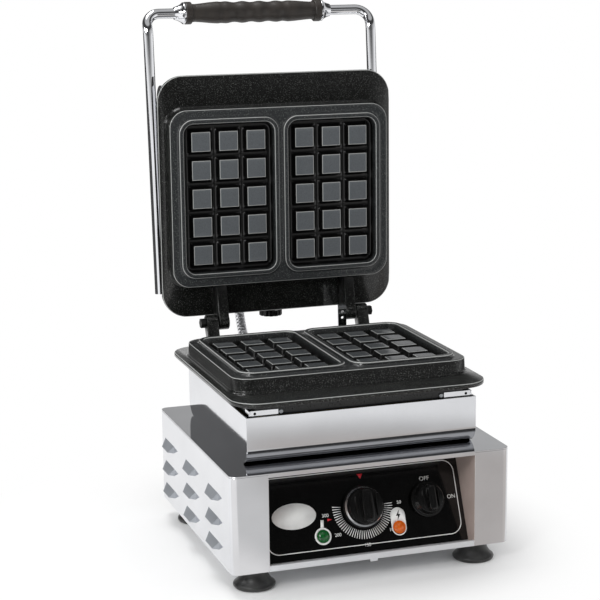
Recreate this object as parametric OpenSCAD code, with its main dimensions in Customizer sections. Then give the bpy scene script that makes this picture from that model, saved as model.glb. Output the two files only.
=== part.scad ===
// Single-station Belgian waffle iron: a stainless cabinet on rubber feet carries a hot box
// with a cast iron plate, and a second plate closes onto it from a rear hinge.
// Millimetres, +Z up. The front faces -Y and the right side, seen from the front, is +X.
// The origin is on the worktop, under the middle of the whole outline with the lid open.

/* [Cabinet] */
// Width over the side panels
base_w = 305; // [295:1:320]
// Depth over the front and rear flanges
base_d = 288; // [280:1:300]
// Height of the feet, up to the underside of the cabinet
foot_h = 22; // [18:1:30]
// Height of the cabinet's side panels
panel_h = 102; // [98:1:120]
// Thickness of the cabinet's sheet steel
sheet_t = 1.5; // [1:0.1:2]
// Outside radius of the upright cabinet corners
corner_r = 8; // [4:1:12]
// Width of the flanges that the side panels fold round the front and rear
flange_w = 40; // [36:1:42]

/* [Control panel] */
// Backward lean of the control panel from upright
fascia_lean = 23.6; // [15:0.1:25]
// Set-back of the control panel's foot behind the front flanges
fascia_inset = 16; // [14:1:20]
// Height of the dial centre up the panel's slope
dial_s = 46.5; // [44:0.5:50]
// Diameter of the thermostat knob's skirt
dial_d = 45; // [40:1:50]
// Sideways place of the main switch
switch_x = 72; // [68:1:76]
// Diameter of the main switch knob
switch_d = 37; // [32:1:40]

/* [Hot box] */
// Width of the lower housing and the lid cover
box_w = 252; // [240:1:256]
// Depth of the lower housing and the lid cover
box_d = 227; // [220:1:232]
// Height of the lower housing
box_h = 51; // [45:1:60]
// Height of the lid cover
cover_h = 40; // [36:1:44]
// Radius of the housing's long bent edges
bend_r = 18; // [12:1:20]
// Height of the dark tray between a housing and its plate
tray_h = 12.5; // [12:0.5:16]

/* [Plates] */
// Width of a cast plate's flange
plate_w = 279; // [274:1:282]
// Depth of a cast plate's flange
plate_d = 277; // [272:1:282]
// Pitch of the pegs, the same both ways
peg_pitch = 32.4; // [31.5:0.1:33]
// Width of a peg at its foot
peg_w = 24.5; // [22:0.5:26]
// Depth of a waffle cavity below its rim
cavity_depth = 13; // [12:0.5:14]
// Drop from the rim to the peg tops
peg_drop = 4.5; // [4.5:0.5:6]

/* [Handle] */
// Diameter of the handle's chromed tube
tube_d = 11.5; // [9:0.5:12]
// Reach of the handle bar in front of the plate's edge
handle_reach = 67; // [60:1:85]
// Length of the grip between its ferrules
grip_l = 165; // [140:1:170]
// Largest diameter of the grip
grip_d = 26; // [22:1:28]

/* [Hidden] */
$fn = 48;
fit = 0.05;          // radial clearance of a running fit
gap = 0.6;           // gap between the closed plates
plate_t = 5;         // thickness of a plate's flange
rise = 20.7;         // rim of a plate above its flange
plate_y = 10.5;      // middle of the plates
box_y = -1.5;        // middle of the hot box
hinge_back = 143.5;  // hinge axis behind the middle of the plates
side_x = base_w / 2;
front_y = -base_d / 2;
deck_z = foot_h + panel_h;
box_z = deck_z + sheet_t;
tray_z = box_z + box_h;
plate_z = tray_z + tray_h + plate_t;
rim_z = plate_z + rise;
lid_rim_z = rim_z + gap;
lid_plate_z = lid_rim_z + rise;
lid_tray_z = lid_plate_z + plate_t;
cover_z = lid_tray_z + tray_h;
cover_top = cover_z + cover_h;
hinge_y = plate_y + hinge_back;
hinge_z = rim_z + 3.5;
fascia_y = front_y + fascia_inset;
fascia_z = foot_h + sheet_t + 0.9;
fascia_w = base_w - 2 * flange_w;
fascia_s = (panel_h - 5) / cos(fascia_lean);
lamp_s = 21.3;
green_x = -47;
amber_x = 37.5;
lamp_r = 6;
foot_x = 122;
foot_front_y = -119;
foot_rear_y = 107;
foot_places = [[-foot_x, foot_front_y], [foot_x, foot_front_y],
               [-foot_x, foot_rear_y], [foot_x, foot_rear_y]];
pillar_places = [for (x = [-106, 106], y = [-70, 85]) [x, y]];
cavity_x = 61.5;
cavity_w = 2 * peg_pitch + peg_w + 17.7;
cavity_d = 4 * peg_pitch + peg_w + 17;
bead_w = 5.2;
bead_h = 4;
cavity_r = 12;         // inner corners of a cavity
pedestal_w = 260;
pedestal_d = 202;
hinge_mid = 4.3;     // middle of the two hinges, right of the cabinet's middle
arm_x = 71.5;
arm_t = 12;
lug_x = 85;
lug_t = 13;
lug_r = 9;
pin_r = 3;
tube_x = box_w / 2 + 9.4;
tube_r = tube_d / 2;
bar_y = plate_y - plate_d / 2 - handle_reach;
arm_y = plate_y + plate_d / 2 - 24;
arm_z = lid_plate_z + 28.3;
arm_slope = 4.3;
crank = 30;          // extra rise of the handle's front end
crank_l = 4.3;       // straight between the crank and the corner's bend
tube_bend = 16;
arm_l = (arm_y - bar_y + (crank_l + tube_bend) * sin(crank) * sin(arm_slope)) / cos(arm_slope)
    - (crank_l + tube_bend) * cos(crank);
bar_z = arm_z + arm_l * sin(arm_slope) + (crank_l + tube_bend) * sin(arm_slope + crank);
y_mid = (front_y + hinge_y + bar_z + grip_d / 2 - hinge_z) / 2;
grip_x = -7;
ferrule_l = 12;
conduit_x = -44;
conduit_r = 6;
conduit_y = 131;
lid_gland_z = cover_z + 15;
gland_h = 14;
// Centre line of the conduit with the lid open, from the cabinet's gland to the lid's, as [y, z]
conduit_route = [[131, 139.5], [131, 148], [133.5, 157], [139.5, 166], [147.5, 174.5], [156.5, 182.5],
                 [165.5, 190.5], [174, 199.5], [180.5, 209.5], [186, 219.5], [192.5, 228.5], [199.5, 236],
                 [204.3, 242.5], [204.3, 246.2]];

steel = "silver";
polished = "gainsboro";
iron = [0.13, 0.13, 0.13];
black = [0.08, 0.08, 0.08];

// ---------- frames ----------

// Puts cabinet coordinates, whose middle is the cabinet's, into the part's own frame
module placed() translate([0, -y_mid, 0]) children();

// The closed lid, swung open a right angle about the hinge
module lid_placed()
    placed() translate([0, hinge_y, hinge_z]) rotate([-90, 0, 0])
        translate([0, -hinge_y, -hinge_z]) children();

// A frame on the control panel at x and s up the slope: +Y up the slope, +Z out of the panel
module on_fascia(x, s)
    translate([0, fascia_y, fascia_z]) rotate([90 - fascia_lean, 0, 0]) translate([x, s, 0]) children();

module both_sides() for (side = [0, 1]) mirror([side, 0, 0]) children();

// ---------- shared shapes ----------

// Rounded rectangle about the origin
module rounded(w, d, r) {
    square([w - 2 * r, d], center = true);
    square([w, d - 2 * r], center = true);
    for (x = [-1, 1], y = [-1, 1]) translate([x * (w / 2 - r), y * (d / 2 - r)]) circle(r);
}

module slab(w, d, r, h) linear_extrude(h) rounded(w, d, r);

// Rod along X
module rod_x(r, l) rotate([0, 90, 0]) cylinder(r = r, h = l);

// A tube's bend in the XY plane, from +X to +Y
module bend(r, tube_r) rotate_extrude(angle = 90) translate([r, 0]) circle(tube_r);

module hex(af, h) cylinder(r = af / sqrt(3), h = h, $fn = 6);

// Pan head screw: the head's seat is at z = 0 and the shank runs down
module pan_screw(r, l) {
    translate([0, 0, -l]) cylinder(r = r, h = l);
    cylinder(r1 = 2 * r, r2 = 1.5 * r, h = r);
}

// ---------- cabinet ----------

// Plan of a side panel: the side and the flanges folded round the front and rear
module panel_plan() difference() {
    intersection() {
        rounded(base_w, base_d, corner_r);
        translate([-side_x, -base_d / 2]) square([flange_w, base_d]);
    }
    rounded(base_w - 2 * sheet_t, base_d - 2 * sheet_t, corner_r - sheet_t);
}

louvre_l = 38;
louvre_h = 8.5;
louvre_out = 6;
louvre_wall = 0.9;
louvre_places = [for (y = [-97, -6, 85], z = [87.5, 61.2, 35]) [y, z]];

// Hood of a louvre along +Y from z = 0: deepest at its mouth below, with slanted ends
module louvre_hood(l, h, out) intersection() {
    rotate([90, 0, 0]) translate([0, 0, -l]) linear_extrude(l) polygon([[0, h], [-out, 0], [0, 0]]);
    linear_extrude(h) polygon([[0, 0], [-out, out], [-out, l - out], [0, l]]);
}

module side_panel() {
    difference() {
        union() {
            translate([0, 0, foot_h]) linear_extrude(panel_h) panel_plan();
            // the cheek beside the control panel
            translate([flange_w - side_x - sheet_t, front_y, foot_h + sheet_t])
                cube([sheet_t, 62, panel_h - sheet_t]);
            for (p = louvre_places)
                translate([-side_x, p[0], p[1]]) louvre_hood(louvre_l, louvre_h, louvre_out);
        }
        for (p = louvre_places) {
            translate([-side_x, p[0] + louvre_wall, p[1] - 0.5])
                louvre_hood(louvre_l - 2 * louvre_wall, louvre_h - louvre_wall, louvre_out - louvre_wall);
            translate([-side_x - 0.1, p[0] + 2, p[1] + 0.6])
                cube([sheet_t + 0.2, louvre_l - 4, louvre_h - 2.6]);
        }
    }
}

module side_panel_left() color(polished) placed() side_panel();

module side_panel_right() color(polished) placed() mirror([1, 0, 0]) side_panel();

module top_sheet() color(polished) placed() {
    difference() {
        translate([0, 0, deck_z]) slab(base_w, base_d, corner_r, sheet_t);
        translate([conduit_x, conduit_y, deck_z - 1]) cylinder(r = 8, h = 4);
        for (x = [-40, 40]) translate([x, 20, deck_z - 1]) cylinder(r = 9, h = 4);
        for (p = pillar_places) translate([p[0], p[1], deck_z - 1]) cylinder(r = 2.5, h = 4);
    }
    // the downturned front edge, over the control panel
    translate([-fascia_w / 2, front_y, deck_z - 3]) cube([fascia_w, sheet_t, 3]);
}

module bottom_pan() color(steel) placed() difference() {
    union() {
        translate([0, 0, foot_h])
            slab(base_w - 2 * sheet_t, base_d - 2 * sheet_t, corner_r - sheet_t, sheet_t);
        // upturned front lip with its hem, and the tab under it
        translate([-fascia_w / 2, front_y, foot_h]) cube([fascia_w, 3, 6]);
        translate([-4, front_y, foot_h - 2.5]) cube([8, sheet_t, 2.5]);
    }
    for (p = foot_places) translate([p[0], p[1], foot_h - 1]) cylinder(r = 2.5, h = 4);
    for (x = [-60:15:60]) translate([x, 0, foot_h + 1]) linear_extrude(6, center = true) rounded(5, 60, 2.4);
}

module rear_panel() color(steel) placed() difference() {
    translate([-fascia_w / 2, -front_y - sheet_t, foot_h + sheet_t])
        cube([fascia_w, sheet_t, panel_h - sheet_t]);
    translate([70, -front_y + 1, 48]) rotate([90, 0, 0]) cylinder(r = 8, h = 5);
    for (x = [-80:14:32])
        translate([x, -front_y + 1, 84]) rotate([90, 0, 0]) linear_extrude(5) rounded(5, 40, 2.4);
}

module fascia_holes(h) {
    on_fascia(0, dial_s) cylinder(r = 5, h = h, center = true);
    on_fascia(switch_x, dial_s) cylinder(r = 5, h = h, center = true);
    for (x = [green_x, amber_x]) on_fascia(x, lamp_s) cylinder(r = lamp_r, h = h, center = true);
}

module fascia_carrier() color(steel) placed() difference() {
    on_fascia(-fascia_w / 2, 0) translate([0, 0, -2]) cube([fascia_w, fascia_s, sheet_t]);
    fascia_holes(8);
}

module control_panel() color(black) placed() difference() {
    on_fascia(-fascia_w / 2, 0) translate([0, 0, -0.5]) cube([fascia_w, fascia_s, 0.5]);
    fascia_holes(8);
}

// ---------- feet ----------

module foot(place) color(black) placed() translate([place[0], place[1], 0]) difference() {
    rotate_extrude() {
        polygon([[0, 0], [19.5, 0], [22, 2.5], [22, 4.5], [17.5, 8.5], [14, 14], [13, 18.5],
                 [14.5, foot_h], [0, foot_h]]);
    }
    translate([0, 0, -1]) cylinder(r = 6, h = 9);
    translate([0, 0, 7]) cylinder(r = 2.5, h = foot_h);
}

module foot_front_left() foot(foot_places[0]);

module foot_front_right() foot(foot_places[1]);

module foot_rear_left() foot(foot_places[2]);

module foot_rear_right() foot(foot_places[3]);

module foot_screws() color(steel) placed() for (p = foot_places) translate([p[0], p[1], 0]) {
    translate([0, 0, 5]) cylinder(r = 5.2, h = 3);
    translate([0, 0, 8]) cylinder(r = 2.4, h = foot_h - 1);
    translate([0, 0, foot_h + sheet_t]) hex(8, 4);
}

// ---------- controls ----------

module thermostat() color("slategray") placed() difference() {
    union() {
        on_fascia(0, dial_s) translate([-18, -18, -32]) cube([36, 36, 30]);
        on_fascia(0, dial_s) translate([0, 0, -2]) cylinder(r = 4.9, h = 3);
    }
    on_fascia(0, dial_s) translate([0, 0, -22]) cylinder(r = pin_r + fit, h = 30);
}

module spindle(x) on_fascia(x, dial_s) translate([0, 0, -21]) cylinder(r = pin_r, h = 33);

module thermostat_spindle() color(steel) placed() spindle(0);

// Knob on the panel: a skirt, a ribbed body and a raised grip bar
module knob(d, grip_w) {
    difference() {
        union() {
            translate([0, 0, 1.5]) cylinder(r = d / 2, h = 4.5);
            translate([0, 0, 6]) cylinder(r1 = d / 2 - 2, r2 = d / 2 - 4, h = 8);
            translate([0, 0, 14]) intersection() {
                cylinder(r = d / 2 - 5, h = 7);
                translate([-grip_w / 2, -d / 2, 0]) cube([grip_w, d, 7]);
            }
        }
        cylinder(r = pin_r, h = 12);
    }
}

module thermostat_knob() color(black) placed() on_fascia(0, dial_s) knob(dial_d, 13);

module thermostat_bulb() color("orange") placed()
    translate([0, 30, tray_z + 8]) rotate([90, 0, 0]) cylinder(r = 2.8, h = 70);

module main_switch() color("ivory") placed() difference() {
    union() {
        on_fascia(switch_x, dial_s) translate([-15, -15, -38]) cube([30, 30, 36]);
        on_fascia(switch_x, dial_s) translate([0, 0, -2]) cylinder(r = 4.9, h = 3);
    }
    on_fascia(switch_x, dial_s) translate([0, 0, -22]) cylinder(r = pin_r + fit, h = 30);
}

module switch_spindle() color(steel) placed() spindle(switch_x);

module switch_knob() color(black) placed() on_fascia(switch_x, dial_s) knob(switch_d, 9);

module lamp_holders() color("ivory") placed() for (x = [green_x, amber_x])
    on_fascia(x, lamp_s) translate([0, 0, -20]) cylinder(r = lamp_r - 0.2, h = 19);

// Domed lens with a collar on the panel
module lens(x) on_fascia(x, lamp_s) {
    translate([0, 0, -1]) cylinder(r = lamp_r - 0.2, h = 1);
    cylinder(r = lamp_r + 0.8, h = 1);
    translate([0, 0, 1]) intersection() {
        translate([0, 0, -6]) sphere(r = 8.5);
        cylinder(r = 8, h = 5);
    }
}

module green_lens() color("green") placed() lens(green_x);

module amber_lens() color("darkorange") placed() lens(amber_x);

module terminal_block() color("ivory") placed() difference() {
    translate([48, 92, foot_h + sheet_t]) cube([44, 20, 18]);
    for (x = [54:10:86]) translate([x, 102, foot_h + sheet_t + 10]) cylinder(r = 2.5, h = 12);
}

module cord_gland() color(black) placed() translate([70, -front_y, 48]) rotate([-90, 0, 0]) difference() {
    union() {
        hex(22, 6);
        translate([0, 0, 6]) cylinder(r1 = 10.5, r2 = 8, h = 12);
        translate([0, 0, -8]) cylinder(r = 7.9, h = 8);
        translate([0, 0, -7.5]) hex(20, 5);
    }
    translate([0, 0, -9]) cylinder(r = 4.25, h = 28);
}

// Gland for the conduit: a nut, a neck and a collar, seated at z = 0
module conduit_gland() difference() {
    union() {
        hex(22, 5);
        translate([0, 0, 5]) cylinder(r = 9, h = gland_h - 5);
        translate([0, 0, -6]) cylinder(r = 7.8, h = 6);
    }
    translate([0, 0, -7]) cylinder(r = 5, h = gland_h + 8);
}

module conduit_base_gland() color(steel) placed() translate([conduit_x, conduit_y, box_z]) conduit_gland();

module conduit_lid_gland() color(steel) lid_placed()
    translate([conduit_x, box_y + box_d / 2, lid_gland_z]) rotate([-90, 0, 0]) conduit_gland();

// Swept tube along conduit_route, in the plane of one x
route_n = len(conduit_route);
function route_dir(i) =
    let (a = conduit_route[max(0, i - 1)], b = conduit_route[min(route_n - 1, i + 1)], d = b - a) d / norm(d);
function route_ring(i) =
    let (d = route_dir(i), p = conduit_route[i])
    [for (k = [0:9]) let (u = conduit_r * cos(36 * k), v = conduit_r * sin(36 * k))
        [conduit_x + u, p[0] + v * d[1], p[1] - v * d[0]]];

module conduit() color(steel) placed() polyhedron(
    points = [for (i = [0:route_n - 1]) each route_ring(i)],
    faces = concat(
        [[for (k = [9:-1:0]) k]],
        [for (i = [0:route_n - 2], k = [0:9]) let (a = 10 * i + k, b = 10 * i + (k + 1) % 10)
            [a, b, b + 10, a + 10]],
        [[for (k = [0:9]) 10 * (route_n - 1) + k]]));

// ---------- hot box ----------

// Side outline of a housing, as [y, z]: upright walls, with the long edges bent in below
module housing_outline(h, t) difference() {
    union() {
        translate([-box_d / 2 + t, bend_r]) square([box_d - 2 * t, h - bend_r]);
        translate([-box_d / 2 + bend_r, t]) square([box_d - 2 * bend_r, h - t]);
        for (y = [-1, 1]) translate([y * (box_d / 2 - bend_r), bend_r]) circle(bend_r - t);
    }
    translate([-box_d, h]) square([2 * box_d, 50]);
}

// A housing open at the top, from z = 0 to h
module housing(h) difference() {
    translate([-box_w / 2, 0, 0]) rotate([90, 0, 90]) linear_extrude(box_w) housing_outline(h, 0);
    translate([-box_w / 2 + sheet_t, 0, 0]) rotate([90, 0, 90])
        linear_extrude(box_w - 2 * sheet_t) housing_outline(h + 1, sheet_t);
}

module lower_housing() color(polished) placed() difference() {
    translate([0, box_y, box_z]) housing(box_h);
    for (p = pillar_places) translate([p[0], p[1], box_z - 1]) cylinder(r = 2.5, h = 4);
    for (x = [-40, 40]) translate([x, 20, box_z - 1]) cylinder(r = 9, h = 4);
}

module pillars() color(steel) placed() for (p = pillar_places) translate([p[0], p[1], 0]) {
    translate([0, 0, box_z + sheet_t]) cylinder(r = 5, h = box_h - sheet_t);
    translate([0, 0, deck_z - 4]) cylinder(r = 2.4, h = 8);
    translate([0, 0, deck_z - 4]) hex(8, 4);
}

module lower_insulation() color("khaki") placed() difference() {
    translate([-92, -80, box_z + 8]) cube([184, 156, 34]);
    for (x = [-40, 40]) translate([x, 20, box_z]) cylinder(r = 9, h = 60);
}

// Tray that carries a plate over its housing
module tray(h) difference() {
    slab(box_w - 10, box_d - 10, 12, h);
    translate([0, 0, sheet_t]) slab(box_w - 14, box_d - 14, 10, h);
    for (x = [-40, 40]) translate([x, 20 - box_y, -1]) cylinder(r = 9, h = 4);
}

module lower_tray() color(black) placed() difference() {
    translate([0, box_y, tray_z]) tray(tray_h);
    both_sides() clip_screw_place() cylinder(r = 1.4, h = 8, center = true);
}

// Folded clip at a front corner of the tray, with a foot on the housing's edge
module corner_clip() difference() {
    union() {
        translate([-121, box_y - box_d / 2 + 3.6, tray_z]) cube([30, 1.2, 6]);
        translate([-122.4, box_y - box_d / 2 + 3.6, tray_z]) cube([1.2, 13, 6]);
        translate([-121.2, box_y - box_d / 2 + 4.8, tray_z + 4.8]) cube([30, 0.2, 1.2]);
    }
    translate([-116, box_y - box_d / 2 + 6, tray_z + 3]) rotate([90, 0, 0]) cylinder(r = 1.4, h = 5);
}

module corner_clips() color(polished) placed() both_sides() corner_clip();

// Seat of a clip screw on the tray's front wall, facing forwards
module clip_screw_place() translate([-88, box_y - box_d / 2 + 5, tray_z + 3]) rotate([90, 0, 0]) children();

module clip_screws() color(steel) placed() both_sides() clip_screw_place() pan_screw(1.4, 3);

// ---------- plates ----------

// One long loop of a tubular heater: two legs along Y joined by bends
module heater(z) translate([0, 0, z]) {
    legs = [-87, -52, -17, 17, 52, 87];
    for (i = [0:5]) translate([legs[i], plate_y + 62, 0]) rotate([90, 0, 0]) cylinder(r = 4.2, h = 124);
    for (i = [0, 2, 4]) translate([(legs[i] + legs[i + 1]) / 2, plate_y - 62, 0]) rotate([0, 0, 180])
        rotate_extrude(angle = 180) translate([(legs[i + 1] - legs[i]) / 2, 0]) circle(4.2);
    for (i = [1, 3]) translate([(legs[i] + legs[i + 1]) / 2, plate_y + 62, 0])
        rotate_extrude(angle = 180) translate([(legs[i + 1] - legs[i]) / 2, 0]) circle(4.2);
}

module lower_element() color("dimgray") placed() heater(tray_z + tray_h - 4.3);

// Trapezoid ridges for one row of pegs, drafted on both flanks, across the other axis
module ridges(count, across) rotate([90, 0, 0]) translate([0, 0, -across / 2]) linear_extrude(across)
    for (i = [0:count - 1]) translate([(i - (count - 1) / 2) * peg_pitch, 0])
        polygon([[-peg_w / 2, -1], [peg_w / 2, -1], [peg_w / 2 - 1.4, cavity_depth - peg_drop],
                 [1.4 - peg_w / 2, cavity_depth - peg_drop]]);

// Three by five pegs standing on z = 0
module pegs() intersection() {
    ridges(3, cavity_d);
    rotate([0, 0, 90]) ridges(5, cavity_w);
}

// Flange of a cast plate and the step on it; the plate's rim is at z = 0, facing up
module plate_flange() {
    translate([0, 0, -rise - plate_t]) slab(plate_w, plate_d, 30, plate_t);
    translate([0, 0, -rise]) slab(pedestal_w + 4, pedestal_d + 4, 22, 2);
}

// Cast plate up to the floor of its cavities, with the pegs
module plate_base() {
    plate_flange();
    translate([0, 0, -rise]) slab(pedestal_w, pedestal_d, 20, rise - cavity_depth);
    both_cavities() translate([0, 0, -cavity_depth]) pegs();
}

// The same casting's walls above the cavity floor, with a bead round each cavity
module plate_rim() difference() {
    union() {
        translate([0, 0, -cavity_depth]) slab(pedestal_w, pedestal_d, 20, cavity_depth - bead_h);
        both_cavities() translate([0, 0, -bead_h - 1])
            slab(cavity_w + 2 * bead_w, cavity_d + 2 * bead_w, cavity_r + bead_w, bead_h + 1);
    }
    both_cavities() translate([0, 0, -cavity_depth - 1]) slab(cavity_w, cavity_d, cavity_r, cavity_depth + 2);
}

// Two upright strips as wide as the cavities, which part the rim's side walls from its end walls
module cavity_strips() both_cavities() translate([-cavity_w / 2, -pedestal_d, -cavity_depth - 1])
    cube([cavity_w, 2 * pedestal_d, cavity_depth + 2]);

module rim_sides() difference() {
    plate_rim();
    cavity_strips();
}

module rim_ends() intersection() {
    plate_rim();
    cavity_strips();
}

module both_cavities() for (x = [-1, 1]) translate([x * cavity_x, 0, 0]) children();

// Both hinges, about their own middle
module hinges() translate([hinge_mid, 0, 0]) both_sides() children();

// Hinge lug along X from x = 0: an eye and the web, given as [y, z], that joins it to its plate
module lug(t, web) rotate([90, 0, 90]) linear_extrude(t) {
    translate([hinge_y, hinge_z]) circle(lug_r);
    polygon(web);
}

module hinge_pin(x, l, r) translate([x, hinge_y, hinge_z]) rod_x(r, l);

// Lower plate and upper plate, each at its place with the lid closed
module at_lower() translate([0, plate_y, rim_z]) children();

module at_upper() translate([0, plate_y, lid_rim_z]) mirror([0, 0, 1]) children();

module lower_plate() color(iron) placed() at_lower() plate_base();

module lower_rim_sides() color(iron) placed() at_lower() rim_sides();

module lower_rim_ends() color(iron) placed() at_lower() rim_ends();

module lower_hinge_lugs() color(iron) placed() difference() {
    hinges() translate([lug_x, 0, 0]) lug(lug_t, [[hinge_y - lug_r, hinge_z], [hinge_y - 17, plate_z - 1],
        [hinge_y - 26, plate_z - 1], [hinge_y - 26, plate_z - plate_t],
        [hinge_y - 6, plate_z - plate_t], [hinge_y + lug_r, hinge_z]]);
    at_lower() plate_flange();
    hinges() hinge_pin(lug_x - 1, lug_t + 2, pin_r + fit);
}

// Upright strap behind the lower plate, beside the right hinge
module lid_stop() color(polished) placed() difference() {
    translate([65.5, hinge_y - 7, plate_z]) union() {
        translate([0, -17, 0]) cube([10, 19, 2]);
        cube([10, 2, 35]);
    }
    for (z = [-5, 2]) translate([70.5, hinge_y, hinge_z + z]) rotate([90, 0, 0]) cylinder(r = 1.6, h = 10);
}

module upper_plate() color(iron) lid_placed() at_upper() plate_base();

module upper_rim_sides() color(iron) lid_placed() at_upper() rim_sides();

module upper_rim_ends() color(iron) lid_placed() at_upper() rim_ends();

module upper_hinge_lugs() color(iron) lid_placed() difference() {
    hinges() translate([arm_x, 0, 0]) lug(arm_t, [[hinge_y - 5, hinge_z - lug_r + 1.5],
        [hinge_y - 41, lid_plate_z - 15], [hinge_y - 41, lid_plate_z + 1],
        [hinge_y - 6, lid_plate_z + plate_t], [hinge_y + 2, lid_plate_z + plate_t],
        [hinge_y + lug_r, hinge_z]]);
    at_upper() plate_flange();
    hinges() hinge_pin(arm_x - 1, arm_t + 2, pin_r);
}

module hinge_bolts() color(steel) lid_placed() hinges() {
    hinge_pin(arm_x, lug_x + lug_t - arm_x + 0.5, pin_r);
    translate([lug_x + lug_t + 0.5, hinge_y, hinge_z]) rotate([0, 90, 0]) hex(10, 6);
}

// ---------- lid ----------

module upper_element() color("dimgray") lid_placed() heater(lid_tray_z + 4.3);

module upper_tray() color(black) lid_placed()
    translate([0, box_y, cover_z]) mirror([0, 0, 1]) tray(tray_h);

module upper_insulation() color("khaki") lid_placed()
    translate([-92, -80, cover_z + 4]) cube([184, 156, 24]);

module lid_cover() color(polished) lid_placed() difference() {
    translate([0, box_y, cover_top]) mirror([0, 0, 1]) housing(cover_h);
    translate([conduit_x, box_y + box_d / 2 + 1, lid_gland_z]) rotate([90, 0, 0]) cylinder(r = 8, h = 4);
    translate([0, box_y + box_d / 2 + 1, lid_gland_z]) rotate([90, 0, 0]) cylinder(r = 3, h = 4);
    both_sides() for (y = [-90, 84])
        translate([box_w / 2 - 3, y, handle_line_z(y)]) rod_x(2.5, 4);
}

// Ribbed buffer on a long stud, on the cover's rear face
module rear_buffer() color(black) lid_placed()
    translate([0, box_y + box_d / 2, lid_gland_z]) rotate([-90, 0, 0]) {
        translate([0, 0, -6]) cylinder(r = 2.9, h = 6);
        cylinder(r = 5, h = 42);
        translate([0, 0, 42]) difference() {
            cylinder(r = 13.5, h = 7);
            for (a = [0:30:330]) rotate([0, 0, a]) translate([14.5, 0, -1]) cylinder(r = 2, h = 9, $fn = 24);
        }
    }

// ---------- handle ----------

// Height of an arm's centre line at y, on the closed lid
function handle_line_z(y) = arm_z + (arm_y - y) * tan(arm_slope);

module arm_frame() translate([0, arm_y, arm_z]) rotate([-arm_slope, 0, 0]) children();

// The frame that the handle's front corners and bar lie in, past the crank
module bar_frame() arm_frame() translate([0, -arm_l, 0]) rotate([-crank, 0, 0]) children();

// What lies behind the mitre where an arm meets its crank, or before it
module mitre_side(side) intersection() {
    children();
    arm_frame() translate([0, -arm_l, 0]) rotate([-crank / 2, 0, 0])
        translate([tube_x - 20, 200 * side - 200, -200]) cube([40, side > 0 ? 400 : 200, 400]);
}

module handle_tube() color(polished) lid_placed() {
    both_sides() {
        mitre_side(1) arm_frame() translate([tube_x, 0, 0]) rotate([90, 0, 0])
            cylinder(r = tube_r, h = arm_l + tube_d);
        mitre_side(0) bar_frame() translate([tube_x, tube_d, 0]) rotate([90, 0, 0])
            cylinder(r = tube_r, h = tube_d + crank_l);
        bar_frame() translate([tube_x - tube_bend, -crank_l, 0]) rotate([0, 0, -90]) bend(tube_bend, tube_r);
    }
    bar_frame() translate([tube_bend - tube_x, -crank_l - tube_bend, 0])
        rod_x(tube_r, 2 * (tube_x - tube_bend));
}

module handle_spacers() color(steel) lid_placed() both_sides() for (y = [-90, 84])
    translate([box_w / 2, y, handle_line_z(y)]) difference() {
        rod_x(4.5, tube_x - box_w / 2 - tube_r + 1.2);
        translate([-1, 0, 0]) rod_x(2.4, 4);
        translate([tube_x - box_w / 2, 0, 0]) rotate([-arm_slope, 0, 0]) rotate([90, 0, 0])
            cylinder(r = tube_r, h = 60, center = true);
    }

module handle_screws() color(steel) lid_placed() both_sides() for (y = [-90, 84])
    translate([box_w / 2 - 8, y, handle_line_z(y)]) {
        rod_x(2.4, 10);
        translate([2.5, 0, 0]) rotate([0, 90, 0]) hex(8, 4);
    }

module along_bar(x) bar_frame() translate([x, -crank_l - tube_bend, 0]) rotate([0, 90, 0]) children();

module handle_ferrules() color(polished) lid_placed() for (side = [-1, 1])
    along_bar(grip_x + side * grip_l / 2) mirror([0, 0, side < 0 ? 1 : 0]) difference() {
        union() {
            cylinder(r1 = grip_d / 2 - 1, r2 = tube_r + 1.4, h = ferrule_l);
            cylinder(r = grip_d / 2 - 0.5, h = 2);
        }
        translate([0, 0, -1]) cylinder(r = tube_r, h = ferrule_l + 2);
    }

module handle_grip() color([0.2, 0.17, 0.16]) lid_placed() along_bar(grip_x) difference() {
    union() {
        translate([0, 0, -grip_l / 2]) cylinder(r = grip_d / 2 - 2.2, h = grip_l);
        for (i = [-2:2]) translate([0, 0, i * grip_l / 5.4]) intersection() {
            sphere(r = grip_d / 2);
            cylinder(r = grip_d, h = grip_l / 6, center = true);
        }
    }
    cylinder(r = tube_r, h = grip_l + 2, center = true);
}

side_panel_left();
side_panel_right();
top_sheet();
bottom_pan();
rear_panel();
fascia_carrier();
control_panel();
foot_front_left();
foot_front_right();
foot_rear_left();
foot_rear_right();
foot_screws();
thermostat();
thermostat_spindle();
thermostat_knob();
thermostat_bulb();
main_switch();
switch_spindle();
switch_knob();
lamp_holders();
green_lens();
amber_lens();
terminal_block();
cord_gland();
conduit_base_gland();
conduit();
conduit_lid_gland();
lower_housing();
pillars();
lower_insulation();
lower_tray();
corner_clips();
clip_screws();
lower_element();
lower_plate();
lower_rim_sides();
lower_rim_ends();
lower_hinge_lugs();
lid_stop();
upper_plate();
upper_rim_sides();
upper_rim_ends();
upper_hinge_lugs();
hinge_bolts();
upper_element();
upper_tray();
upper_insulation();
lid_cover();
rear_buffer();
handle_tube();
handle_spacers();
handle_screws();
handle_ferrules();
handle_grip();
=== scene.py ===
# %% [markdown]
# # Waffle iron, lid open
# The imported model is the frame: it holds every part at its true place and says which parts turn
# together. This lesson dresses it. Pressed, cast, turned and printed pieces that a plain solid
# only hints at are worked out again as smooth surfaces, and each takes the place of its solid.

# %% Load the frame
import math

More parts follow.
